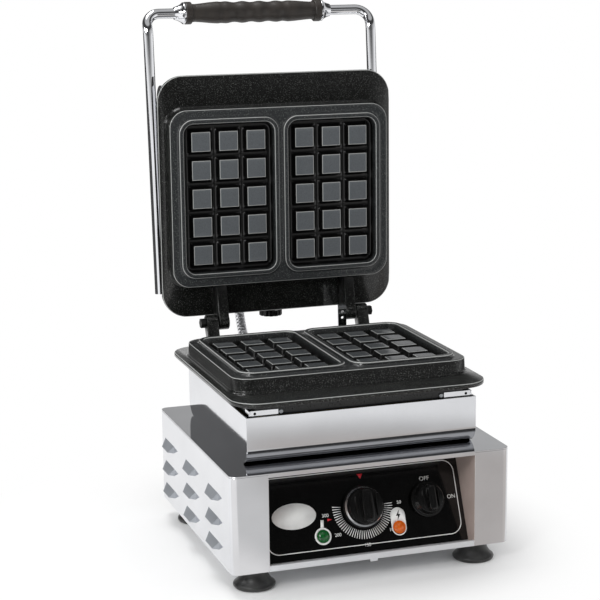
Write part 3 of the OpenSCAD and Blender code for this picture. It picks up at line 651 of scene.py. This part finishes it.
# %% [markdown]
# ## Wear and painted light on the enamel
# The material needs to know which points lie on a peg's top, in a channel or on an edge. Painting
# that by hand would be slow, and the height above the rim already tells it: every top lies at one
# height and every edge at one of five. So the heights are compared with those.

# %% Wear and painted light on the enamel
PEG_TOP_Z = FLOOR_Z + PEG_RISE[0] - PEG_DROP
# a bead's shoulders, a peg's edges and its corners, the ledge's edge and the flange's edge
EDGE_Z = np.array([-0.6, -4.995, -5.08, -4.2, -20.95])
CLOSE = 0.02             # a point this near to a height lies at it
RIM_SHARE = 0.22         # the rims are painted grey this much as far as the tops: rubbing and a painted highlight


def paint_wear_and_light(obj, height, grey_tops):
    """Point values for the enamel: the flat peg tops and in part the rims, grey from rubbing and a
    painted reflection; the channels between the pegs, for old batter and painted shade; and the
    edges, pale as a painted highlight with wear. height gives each point's height above the rim,
    and grey_tops says how grey the tops are painted."""
    points = np.empty(len(obj.data.vertices) * 3)
    obj.data.vertices.foreach_get("co", points)
    points = points.reshape(-1, 3) / MM + [0, MID_Y, 0]
    high = height(points)
    across = np.abs(np.abs(points[:, 0]) - CAVITY_X)
    inside = (across < CORE_X + CAVITY_R - 0.3) & (high > FLOOR_Z - 1) & (high < -1.6)
    tops = inside & (np.abs(high - PEG_TOP_Z) < CLOSE)
    rims = (high > -4.1) & (high < 0.1)
    edges = np.abs(high[:, None] - EDGE_Z).min(axis=1) < CLOSE
    values = {"tops": np.maximum(tops, rims * RIM_SHARE) * grey_tops,
              "channels": inside & (high < PEG_TOP_Z - 0.3), "edges": edges * 0.9}
    for name, value in values.items():
        layer = obj.data.attributes.new(name, "FLOAT", "POINT")
        layer.data.foreach_set("value", np.asarray(value, np.float32))


print("peg tops at", PEG_TOP_Z, "from the rim")

# %% [markdown]
# ## Both plates
# Both plates have one form, so the upper one needn't be worked out again: it is the lower one
# turned over. Each takes its own pair of webs, and the upper one is turned open with the lid.

# %% Cast both plates
RIM_Z = 214.7            # the lower plate's rim
LID_RIM_Z = 215.3        # the upper one's, with the lid shut
PLATE_Y = 10.5           # the plates' middle behind the cabinet's
lower = joined(moved(plate, lambda p: p + [0, PLATE_Y, RIM_Z]), both_hinges(lower_web, 85, 13))
upper_closed = joined(moved(plate, lambda p: p * [1, 1, -1] + [0, PLATE_Y, LID_RIM_Z]),
                      both_hinges(upper_web, 71.5, 12))
lower_plate = piece("lower_waffle_plate", lower, iron, "cabinet",
                    ("lower_plate", "lower_rim_sides", "lower_rim_ends",
                     "lower_hinge_lugs"), crease=50)
paint_wear_and_light(lower_plate, lambda p: p[:, 2] - RIM_Z, 0.45)
upper_plate = piece("upper_waffle_plate", moved(upper_closed, opened), iron, "lid",
                    ("upper_plate", "upper_rim_sides", "upper_rim_ends",
                     "upper_hinge_lugs"), crease=50)
# the upper plate faces the bright floor in front, so its tops are painted greyer than the lower's:
# rubbing and a painted reflection
paint_wear_and_light(upper_plate, lambda p: HINGE[1] + LID_RIM_Z - HINGE[2] - p[:, 1], 0.92)

# %% [markdown]
# ## The handle
# A chromed steel tube is bent twice at each side: a slight crank, then the corner. A curve object
# with a round bevel could draw it, but then both bends would be set by eye. Here each one comes
# from its angle and radius: the path is worked out for one side and mirrored, and a ring is carried
# along it.

# %% Handle path
ARM_X, TUBE_R, BEND_R = 135.4, 5.75, 16.0
ARM_LENGTH, CRANK_LENGTH = 304.086, 4.3


def rising(degrees):
    """Direction to the front and up by an angle: (0, -cos, sin)."""
    return np.array([0, -math.cos(math.radians(degrees)), math.sin(math.radians(degrees))])


ARM_DIR, CRANK_DIR = rising(4.3), rising(34.3)
arm_start = np.array([ARM_X, 125.0, 264.3])
crank_at = arm_start + ARM_LENGTH * ARM_DIR
corner_at = crank_at + CRANK_LENGTH * CRANK_DIR
bar_at = corner_at + BEND_R * (CRANK_DIR - [1, 0, 0])
t = np.linspace(0, 1, 9)[:, None]
soft_crank = ((1 - t) ** 2 * (crank_at - 5 * ARM_DIR) + 2 * t * (1 - t) * crank_at
              + t**2 * (crank_at + 4 * CRANK_DIR))
a = np.linspace(0, np.pi / 2, 14)[:, None]
corner = corner_at - [BEND_R, 0, 0] + BEND_R * (np.cos(a) * [1, 0, 0] + np.sin(a) * CRANK_DIR)
arm = arm_start + np.linspace(0, 296, 24)[:, None] * ARM_DIR    # short of the crank's curve
side_path = np.vstack([arm, soft_crank, corner])
bar = bar_at + np.linspace(0, 1, 20)[1:-1, None] * [-2 * bar_at[0], 0, 0]
handle_path = np.vstack([side_path, bar, side_path[::-1] * [-1, 1, 1]])
print("handle path", len(handle_path), "points")

# %% Handle tube
def swept(path, radius, side, around=28):
    """Tube: about each path point p a ring p + r (n cos a + b sin a), with n and b square to the
    path."""
    along = unit(np.gradient(path, axis=0))
    n = unit(np.cross(side, along))
    b = np.cross(along, n)
    a = np.linspace(0, 2 * np.pi, around, endpoint=False)[None, :, None]
    r = np.broadcast_to(np.asarray(radius, float), (len(path),))[:, None, None]
    rings = path[:, None] + r * (np.cos(a) * n[:, None] + np.sin(a) * b[:, None])
    return grid_shell(rings, ring=True, caps=(True, True))


side = np.array([0, math.sin(math.radians(19)), math.cos(math.radians(19))])
piece("handle_chromed_tube", moved(swept(handle_path, TUBE_R, side), opened), chrome, "lid",
      ("handle_tube",))

# %% [markdown]
# ## Ferrules and grip
# The bell ferrules are turned on a lathe, and the grip is moulded round the tube with waves for the
# fingers. Both are round about the bar, so each is a profile turned about an axis and laid along
# the bar. The waves are a cosine in the profile, since a wave that goes right round needs no more.

# %% Ferrules and grip
def turned(profile, around=48):
    """Surface of revolution about Z: (r cos a, r sin a, z) for each profile point (r, z)."""
    profile = np.array(profile, float)
    a = np.linspace(0, 2 * np.pi, around, endpoint=False)
    r, z = profile[:, :1], profile[:, 1:]
    return grid_shell(np.stack([r * np.cos(a), r * np.sin(a), z + 0 * a], axis=-1), ring=True)


def along_bar(shell, x):
    """A shape turned about Z, laid along the handle's bar with its foot at x: its Z runs along
    the bar, its X along the crank and its Y square to both."""
    out = np.cross([1.0, 0, 0], CRANK_DIR)
    return moved(shell, lambda p: opened(bar_at * [0, 1, 1] + [x, 0, 0] + p[:, 2:] * [1, 0, 0]
                                         + p[:, :1] * CRANK_DIR + p[:, 1:2] * out))


GRIP_X, GRIP_HALF = -7.0, 82.5
bell = [(TUBE_R, 0), (12.3, 0), (12.5, 0.4), (12.5, 1.8), (12.2, 2.3), (11.6, 2.7), (10.3, 4.4),
        (9.2, 6.3), (8.3, 8.4), (7.6, 10.6), (7.15, 12), (TUBE_R, 12), (TUBE_R, 0)]
flip = along_bar(moved(turned(bell), lambda p: p * [1, 1, -1]), GRIP_X - GRIP_HALF)
near_bell = along_bar(turned(bell), GRIP_X + GRIP_HALF)
piece("handle_bell_ferrules", joined(near_bell, flip), chrome, "lid", ("handle_ferrules",))
GRIP_U = [-82.5, -82.1, -81.3, -75.4, -74.6, -74, -70, -62, -52, -42,
          42, 52, 62, 70, 74, 74.6, 75.4, 81.3, 82.1, 82.5]
GRIP_R = [11.9, 12.6, 12.9, 12.9, 12.3, 10.5, 10.2, 10.9, 12.0, 12.7,
          12.3, 11.7, 10.8, 10.2, 10.5, 12.3, 12.9, 12.9, 12.6, 11.9]
FINGER, DIP = 20.5, 0.65   # from one finger's wave to the next, and half its depth
u = np.union1d(np.linspace(-GRIP_HALF, GRIP_HALF, 190), GRIP_U)
fade = np.clip((43 - np.abs(u)) / 8, 0, 1)
fingers = fade * DIP * (np.cos(2 * np.pi * (u + 33) / FINGER) - 1)
swell = np.interp(u, GRIP_U, GRIP_R) + fingers
profile = np.vstack([[TUBE_R, -GRIP_HALF], np.column_stack([swell, u]), [TUBE_R, GRIP_HALF],
                     [TUBE_R, -GRIP_HALF]])
piece("handle_moulded_grip", along_bar(turned(profile), GRIP_X), grip_brown, "lid",
      ("handle_grip",))

# %% [markdown]
# ## The conduit
# The lid's wires run in a ribbed steel conduit from the top sheet to the rear of the lid cover.
# Separate rings on a tube would leave seams, so it is one tube whose radius goes up and down along
# its path.

# %% Conduit
def smooth_path(points, steps):
    """Catmull-Rom curve through the points: each span is a cubic whose end slopes are half the
    chord between the neighbours on either side."""
    p = np.array(points, float)
    p = np.vstack([2 * p[0] - p[1], p, 2 * p[-1] - p[-2]])
    t = np.linspace(0, 1, steps, endpoint=False)[:, None]
    a, b, c, d = (p[k:len(p) - 3 + k][:, None] for k in range(4))
    curve = 0.5 * (2 * b + (c - a) * t + (2 * a - 5 * b + 4 * c - d) * t**2
                   + (3 * b - a - 3 * c + d) * t**3)
    return np.vstack([curve.reshape(-1, p.shape[1]), p[-2]])


CONDUIT_X = -44.0        # left of the cabinet's middle
ROUTE = [[131, 139.5], [131, 148], [133.5, 157], [139.5, 166], [147.5, 174.5], [156.5, 182.5],
         [165.5, 190.5], [174, 199.5], [180.5, 209.5], [186, 219.5], [192.5, 228.5], [199.5, 236],
         [204.3, 242.5], [204.3, 246.2]]
conduit_yz = smooth_path(ROUTE, 14)
steps = np.arange(len(conduit_yz))
conduit_path = np.column_stack([np.full(len(conduit_yz), CONDUIT_X), conduit_yz])
ribs = 5.45 + 0.5 * np.cos(2 * np.pi * steps / 5)    # one rib for every five steps
hose = swept(conduit_path, ribs, np.array([1.0, 0, 0]), 20)
conduit = piece("ribbed_conduit", hose, conduit_steel, None, ("conduit",))
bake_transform(conduit)

# %% [markdown]
# ## Knobs and feet
# The knobs are moulded with a skirt, a bar to hold and ribs beside it, and the feet are moulded
# rubber with a wide pad below a narrow neck. Bevelled cylinders would come close, but a profile
# turned about Z gives every round of a knob or a foot at once, from a short list of radii and
# heights. Only the knob's bar isn't round, and it is a stack of rings with squared ends.

# %% Knobs
DIAL_S, SWITCH_X = 46.5, 72.0   # the spindles' height up the panel, and the switch's place across


def knob(d, width):
    """Skirt and body turned about the spindle, a bar across and two ribs. The bar's outline is
    (w sign(cos a) |cos a|^0.35, l sign(sin a) |sin a|^0.6), a rectangle with round corners."""
    r = d / 2
    body = turned([(0, 1.5), (r - 0.6, 1.5), (r, 2.1), (r, 5.3), (r - 0.5, 6), (r - 2, 6.2),
                   (r - 3, 7.5), (r - 3.8, 13), (r - 4.3, 13.8), (r - 5.2, 14), (0, 14)], 64)
    a = np.linspace(0, 2 * np.pi, 64, endpoint=False)
    half_w, half_l = width / 2, r - 5.2
    x = half_w * np.sign(np.cos(a)) * np.abs(np.cos(a)) ** 0.35
    y = half_l * np.sign(np.sin(a)) * np.abs(np.sin(a)) ** 0.6
    rings = [np.column_stack([x * k, y * (1 - (1 - k) * 0.4), np.full(64, float(z))])
             for k, z in ((1.1, 13.5), (1.0, 15), (0.94, 19.6), (0.86, 20.6), (0.7, 21), (0.45, 21),
                          (0.38, 20.2), (0.02, 20.2))]
    bar = grid_shell(np.array(rings), ring=True, caps=(True, True))
    rib_x, rib_l = width * 0.5 + r * 0.2, r * 0.52
    rib = [np.column_stack([rib_x + np.cos(a) * 1.1 * k, rib_l * np.sin(a) * (0.85 + 0.15 * k),
                            np.full(64, float(z))])
           for k, z in ((1.15, 13.2), (1.0, 14.4), (0.85, 15.6), (0.5, 16.1), (0.05, 16.2))]
    return joined(body, bar, mirrored(grid_shell(np.array(rib), ring=True, caps=(True, True))))


def at_spindle(shell, x):
    """Puts a shape turned about Z on the panel, its axis on the spindle at x."""
    return moved(shell, lambda p: on_panel(p + [x, DIAL_S, 0]))


ring = turned([(18.9, 6.3), (19.1, 7.5), (19.6, 7.8), (22.2, 5.0), (22.45, 4.3), (22.3, 3.4),
               (21.4, 4.2), (19.6, 6.0), (18.9, 6.3)], 96)
piece("thermostat_trim_ring", at_spindle(ring, 0), aluminium, "thermostat_dial")
piece("thermostat_control_knob", at_spindle(knob(45, 13), 0), phenolic, "thermostat_dial",
      ("thermostat_knob",))
piece("switch_control_knob", at_spindle(knob(37, 9), SWITCH_X), phenolic, "switch_dial",
      ("switch_knob",))

# %% Feet
foot = turned([(6, 0.6), (7, 0), (19, 0), (20.8, 0.7), (21.8, 2.2), (22, 3.6), (21.4, 4.8),
               (19.4, 6.4), (17.2, 8.8), (15.4, 11.8), (14.2, 15), (13.6, 18), (13.8, 20),
               (14.5, 22), (6, 22), (6, 0.6)], 56)
places = {"front_left": (-122, -119), "front_right": (122, -119),
          "rear_left": (-122, 107), "rear_right": (122, 107)}
for place, (x, y) in places.items():
    piece(f"rubber_foot_{place}", moved(foot, lambda p: p + [x, y, 0]), rubber, "cabinet",
          (f"foot_{place}",))

# %% [markdown]
# ## The printed panel
# The film carries a screen print: a white border, a ring of ticks with numbers, and marks. An
# image laid over the panel would blur close up. So each mark is a flat outline on the panel, given
# a coat of ink, which is drawn a tenth of a millimetre thick so that it clears the film.

# %% Flat outlines
def flat(points, holes=None):
    """A filled outline, or a strip between an outline and a second one with as many points."""
    points = np.array(points, float)
    points = np.column_stack([points, np.zeros(len(points))])
    if holes is None:
        return points, [list(range(len(points)))]
    inner = np.column_stack([np.array(holes, float), np.zeros(len(points))])
    return grid_shell(np.array([points, inner]), ring=True)


def arcs(x0, y0, x1, y1, r, steps=10):
    """Rounded rectangle: four corner arcs, each its centre + r (cos a, sin a)."""
    a = np.linspace(0, np.pi / 2, steps)
    quarter = np.arange(4)[:, None] * np.pi / 2 + a
    cx = np.array([x1 - r, x0 + r, x0 + r, x1 - r])[:, None]
    cy = np.array([y1 - r, y1 - r, y0 + r, y0 + r])[:, None]
    return np.stack([cx + r * np.cos(quarter), cy + r * np.sin(quarter)], axis=-1).reshape(-1, 2)


def ellipse(x, y, rx, ry, steps=48):
    """Centre + (rx cos a, ry sin a)."""
    a = np.linspace(0, 2 * np.pi, steps, endpoint=False)
    return np.column_stack([x + rx * np.cos(a), y + ry * np.sin(a)])


def lettering(words, x, y, size):
    """A word in the plain built-in face, made a mesh and centred on (x, y)."""
    curve = bpy.data.curves.new("word", "FONT")
    curve.body, curve.size, curve.align_x, curve.align_y = words, size, "CENTER", "CENTER"
    obj = bpy.data.objects.new("word", curve)
    mesh = bpy.data.meshes.new_from_object(obj)
    points = np.empty(len(mesh.vertices) * 3)
    mesh.vertices.foreach_get("co", points)
    faces = [list(p.vertices) for p in mesh.polygons]
    bpy.data.objects.remove(obj)
    return points.reshape(-1, 3) * [1, 1, 0] + [x, y, 0], faces


def printed(name, shells, ink, lift=0.02):
    """Outlines laid on the panel and given the thickness of the ink."""
    shell = moved(joined(*shells), lambda p: on_panel(p + [0, 0, lift]))
    obj = piece(name, shell, ink, "cabinet", weld=0.001)
    coat = obj.modifiers.new("ink", "SOLIDIFY")
    coat.thickness, coat.offset = 0.12 * MM, 0
    return obj


print("a corner of the border", arcs(0, 0, 40, 30, 5)[:2].round(2).tolist())

# %% Print the panel
a = np.radians(np.linspace(-186, 2, 40))
tick = np.array([[24.2, -0.3], [33.2, -0.42], [33.2, 0.42], [24.2, 0.3]])
ticks = [flat(tick @ [[math.cos(k), math.sin(k)], [-math.sin(k), math.cos(k)]] + [0, DIAL_S])
         for k in a]
border_line = flat(arcs(-108.4, 7.2, 107.9, 86.7, 13), arcs(-107.5, 8.1, 107.0, 85.8, 12.2))
white = [border_line, flat(ellipse(-75.4, 45.1, 24, 13.5)), *ticks,
         flat(ellipse(-47, 21.3, 9, 9), ellipse(-47, 21.3, 6.9, 6.9)),
         flat([[-48.6, 29.8], [-45.0, 29.8], [-44.2, 38], [-47.6, 38]]),
         flat(arcs(29.3, 12.6, 45.7, 42.2, 8.2), arcs(30.5, 13.8, 44.5, 28.0, 7.0)),
         lettering("OFF", 73, 69, 6.4), lettering("ON", 100.6, 47, 6.0)]
for number, angle, r in (("50", 1, 41), ("100", -42, 40), ("150", -90, 39.5), ("200", -140, 40),
                         ("300", 186, 42)):
    turn = math.radians(angle)
    white.append(lettering(number, r * math.cos(turn), DIAL_S + r * math.sin(turn), 5.0))
printed("panel_white_print", white, print_white)
printed("panel_red_print", [flat([[-1.3, 81.5], [5.1, 81.5], [1.9, 76]]),
                            flat([[-40, 39], [-34.6, 37.6], [-40, 36.2]])], print_red)
bolt = [[39.6, 39.6], [35.6, 33.4], [37.8, 33.4], [36.8, 28.8], [40.8, 35.0], [38.6, 35.0]]
printed("panel_black_print", [flat(bolt)], print_black, lift=0.1)

# %% [markdown]
# ## Floor
# The iron stands on a plain pale floor that turns to white further out, as a studio sweep does.
# Near the object the floor is lit and keeps its shadow, and past that the camera sees plain white,
# so no lamp has to be strong enough to bleach it. Polished steel shows what stands round it, and a
# uniformly white room would leave it flat, so for reflected rays the floor has an end, dark beyond
# it, two bright stretches, and a painted shadow of the object just in front, tinted warm. Which ray
# asks comes from Light Path.

# %% Floor
HALF_SIDE = 40.0         # metres, far past the horizon that the camera sees
corners = np.array([[-1, -1, 0], [1, -1, 0], [1, 1, 0], [-1, 1, 0]]) * HALF_SIDE
floor_mesh = bpy.data.meshes.new("floor")
floor_mesh.from_pydata(corners.tolist(), [], [[0, 1, 2, 3]])
floor = bpy.data.objects.new("floor", floor_mesh)
bpy.context.scene.collection.objects.link(floor)
# painted board: white and quite dull
pale, tree, shader, where = start("pale_studio_floor")
for socket, value in (("Base Color", linear("#f4f4f4")), ("Roughness", 0.9),
                      ("Specular IOR Level", 0.0)):
    shader.inputs[socket].default_value = value
floor_mesh.materials.append(pale)
print("floor", 2 * HALF_SIDE, "metres across")

# %% What each ray finds on the floor
SMOOTH = {"interpolation_type": "SMOOTHSTEP"}
ray = add(tree, "LightPath").node.outputs
seen, glossy, through = (ray[f"Is {kind} Ray"] for kind in ("Camera", "Glossy", "Transmission"))
mirrored_ray = add(tree, "Math", (glossy, through), operation="MAXIMUM")
reach = add(tree, "VectorMath", (where,), "Value", operation="LENGTH")
side, depth, _ = add(tree, "SeparateXYZ", (where,)).node.outputs
# round the object the floor is lit and shaded; further out the camera sees plain white
from_shadow = add(tree, "VectorMath", (where, (-0.08, -0.06, 0.0)), operation="SUBTRACT")
spread = add(tree, "VectorMath", (from_shadow,), "Value", operation="LENGTH")
white_out = add(tree, "MapRange", (spread, 0.21, 0.37, 0.0, 1.0), **SMOOTH)
# in reflections the table ends, and past it two bright stretches of floor stand in a dark room
table_end = add(tree, "MapRange", (reach, 0.95, 1.15, 0.0, 1.0), **SMOOTH)
back = add(tree, "Math", (depth, -1.0), operation="MULTIPLY")
turn = add(tree, "Math", (side, back), operation="ARCTAN2")


def stretch(degrees, half):
    """One where the turn from straight ahead is within half of degrees, falling to zero past it."""
    off = add(tree, "Math", (turn, math.radians(degrees)), operation="SUBTRACT")
    size = add(tree, "Math", (off,), operation="ABSOLUTE")
    return add(tree, "MapRange", (size, math.radians(half - 5), math.radians(half + 6), 1.0, 0.0),
               **SMOOTH)


bright = add(tree, "Math", (stretch(-42, 24), stretch(56, 21)), operation="ADD")
room_floor = add(tree, "MapRange", (bright, 0.0, 1.0, 0.07, 1.05))
# for reflected rays the table just in front, most of all to the right, carries a painted shadow of
# the object
before = add(tree, "MapRange", (back, 0.16, 0.24, 0.0, 0.9), **SMOOTH)
near = add(tree, "MapRange", (reach, 0.62, 0.8, 1.0, 0.0), **SMOOTH)
ahead = add(tree, "Math", (before, near), operation="MULTIPLY")
middle = add(tree, "MapRange", (side, -0.05, 0.06, 0.5, 1.0), **SMOOTH)
painted_shadow = add(tree, "Math", (ahead, middle), operation="MULTIPLY")
print("floor nodes", len(tree.nodes))

# %% Mix the floor
table = add(tree, "Mix", (painted_shadow, None, room_floor, 0.52))
level = add(tree, "Mix", (seen, None, table, 1.0))
share_seen = add(tree, "Math", (seen, white_out), operation="MULTIPLY")
covered = add(tree, "Math", (table_end, painted_shadow), operation="MAXIMUM")
share_mirrored = add(tree, "Math", (mirrored_ray, covered), operation="MULTIPLY")
share = add(tree, "Math", (share_seen, share_mirrored), operation="ADD")
# reflected rays see the painted shadow tinted warm
shadow_tint = add(tree, "Math", (painted_shadow, mirrored_ray), operation="MULTIPLY")
tint = add(tree, "Mix", {0: shadow_tint, 6: linear("#ffffff"), 7: linear("#fff6f0")}, 2, data_type="RGBA")
lit = add(tree, "Emission", (tint, level))
both = add(tree, "MixShader", (share, shader.outputs[0], lit))
tree.links.new(both, tree.nodes["Material Output"].inputs["Surface"])
print("floor nodes", len(tree.nodes))

# %% [markdown]
# ## Room and lamps
# The backdrop is white to the camera. To a reflected ray the room has a white wall at the horizon,
# a dim space above it, dimmest to the left, and a pale ceiling, so that the steel shows light and
# dark bands. Three soft lamps stand in it: one high over the left shoulder, a fill in front on the
# left, and a tall strip at the left that draws a line along the edges. A sky image could do all
# of this, but a few numbers are easier to tune.

# %% Room
world = bpy.data.worlds.new("studio")
bpy.context.scene.world = world
world.use_nodes = True
tree = world.node_tree
sky = tree.nodes["Background"]
sky.inputs["Color"].default_value = linear("#ffffff")
ray = add(tree, "LightPath").node.outputs
seen, glossy, through = (ray[f"Is {kind} Ray"] for kind in ("Camera", "Glossy", "Transmission"))
mirrored_ray = add(tree, "Math", (glossy, through), operation="MAXIMUM")
direction = add(tree, "TexCoord", out="Generated")
right, ahead, up = add(tree, "SeparateXYZ", (direction,)).node.outputs
# the dim room is 0.18 + 0.54 * right + 0.11 * ahead, and 0.1 at the least
sideways = add(tree, "Math", (right, 0.54, 0.18), operation="MULTIPLY_ADD")
across = add(tree, "Math", (ahead, 0.11, sideways), operation="MULTIPLY_ADD")
wall = add(tree, "Math", (across, 0.1), operation="MAXIMUM")
# from the horizon up: the white backdrop, the room, its dark upper part and the pale ceiling
upper = add(tree, "MapRange", (up, 0.25, 0.45, wall, 0.05), **SMOOTH)
over = add(tree, "MapRange", (up, 0.66, 0.82, upper, 0.5), **SMOOTH)
room = add(tree, "MapRange", (up, 0.02, 0.1, 1.0, over), **SMOOTH)
SOFT_LIGHT = 0.72        # what the room gives to dull surfaces, the same from all sides
lit_by = add(tree, "Mix", (mirrored_ray, None, SOFT_LIGHT, room))
strength = add(tree, "Mix", (seen, None, lit_by, 1.0))
tree.links.new(strength, sky.inputs["Strength"])
print("room nodes", len(tree.nodes))

# %% Lamps
def softbox(name, place, aim, width, depth, power):
    """A soft rectangular lamp at a place, turned so that its -Z looks at the aim."""
    data = bpy.data.lights.new(name, "AREA")
    data.shape, data.size, data.size_y, data.energy = "RECTANGLE", width, depth, power
    lamp = bpy.data.objects.new(name, data)
    bpy.context.scene.collection.objects.link(lamp)
    back = unit(np.array(place, float) - aim)
    side = unit(np.cross([0, 1.0, 0.01], back))
    turn = np.eye(4)
    turn[:3, :3] = np.column_stack([side, np.cross(back, side), back])
    turn[:3, 3] = place
    lamp.matrix_world = turn.T.tolist()


softbox("overhead_softbox", (-0.35, 0.35, 1.8), (0, 0, 0.1), 0.6, 0.6, 9.0)
softbox("front_fill", (-1.5, -1.5, 1.35), (0, 0, 0.3), 0.5, 0.5, 13.0)
softbox("left_strip", (-1.35, -0.15, 0.85), (0, 0, 0.25), 0.25, 1.1, 3.5)

# %% [markdown]
# ## Camera
# The camera is set by its place, its turn and a small shift, worked out from the cabinet's own
# corners. Its focal length and its middle are in pixels of a frame 600 pixels wide, and become
# millimetres on a 36 mm sensor and a share of the frame here.

# %% Camera
FOCAL_PX, CENTRE_U, CENTRE_V, FRAME_PX = 1768.33, 319.48, 302.26, 600
CAMERA_AT = np.array([-610.28, -1769.35, 647.72])   # millimetres about the cabinet's middle
SENSOR = 36
yaw, pitch, roll = np.radians([18.803, -11.559, -0.5735])
ahead = np.array([math.sin(yaw) * math.cos(pitch), math.cos(yaw) * math.cos(pitch),
                  math.sin(pitch)])
level_right = unit(np.cross(ahead, [0, 0, 1.0]))
level_up = np.cross(level_right, ahead)
right = math.cos(roll) * level_right + math.sin(roll) * level_up
up = -math.sin(roll) * level_right + math.cos(roll) * level_up
camera_data = bpy.data.cameras.new("camera")
camera_data.sensor_width = SENSOR
camera_data.lens = FOCAL_PX * SENSOR / FRAME_PX
camera_data.shift_x = (FRAME_PX / 2 - CENTRE_U) / FRAME_PX
camera_data.shift_y = (CENTRE_V - FRAME_PX / 2) / FRAME_PX
camera_data.clip_end = 100
camera = bpy.data.objects.new("camera", camera_data)
bpy.context.scene.collection.objects.link(camera)
pose = np.eye(4)
pose[:3, :3] = np.column_stack([right, up, -ahead])
pose[:3, 3] = (CAMERA_AT - [0, MID_Y, 0]) * MM
camera.matrix_world = pose.T.tolist()
bpy.context.scene.camera = camera
bpy.context.scene.view_settings.view_transform = "Standard"
print("camera at", pose[:3, 3].round(3), "lens", round(camera_data.lens, 2))
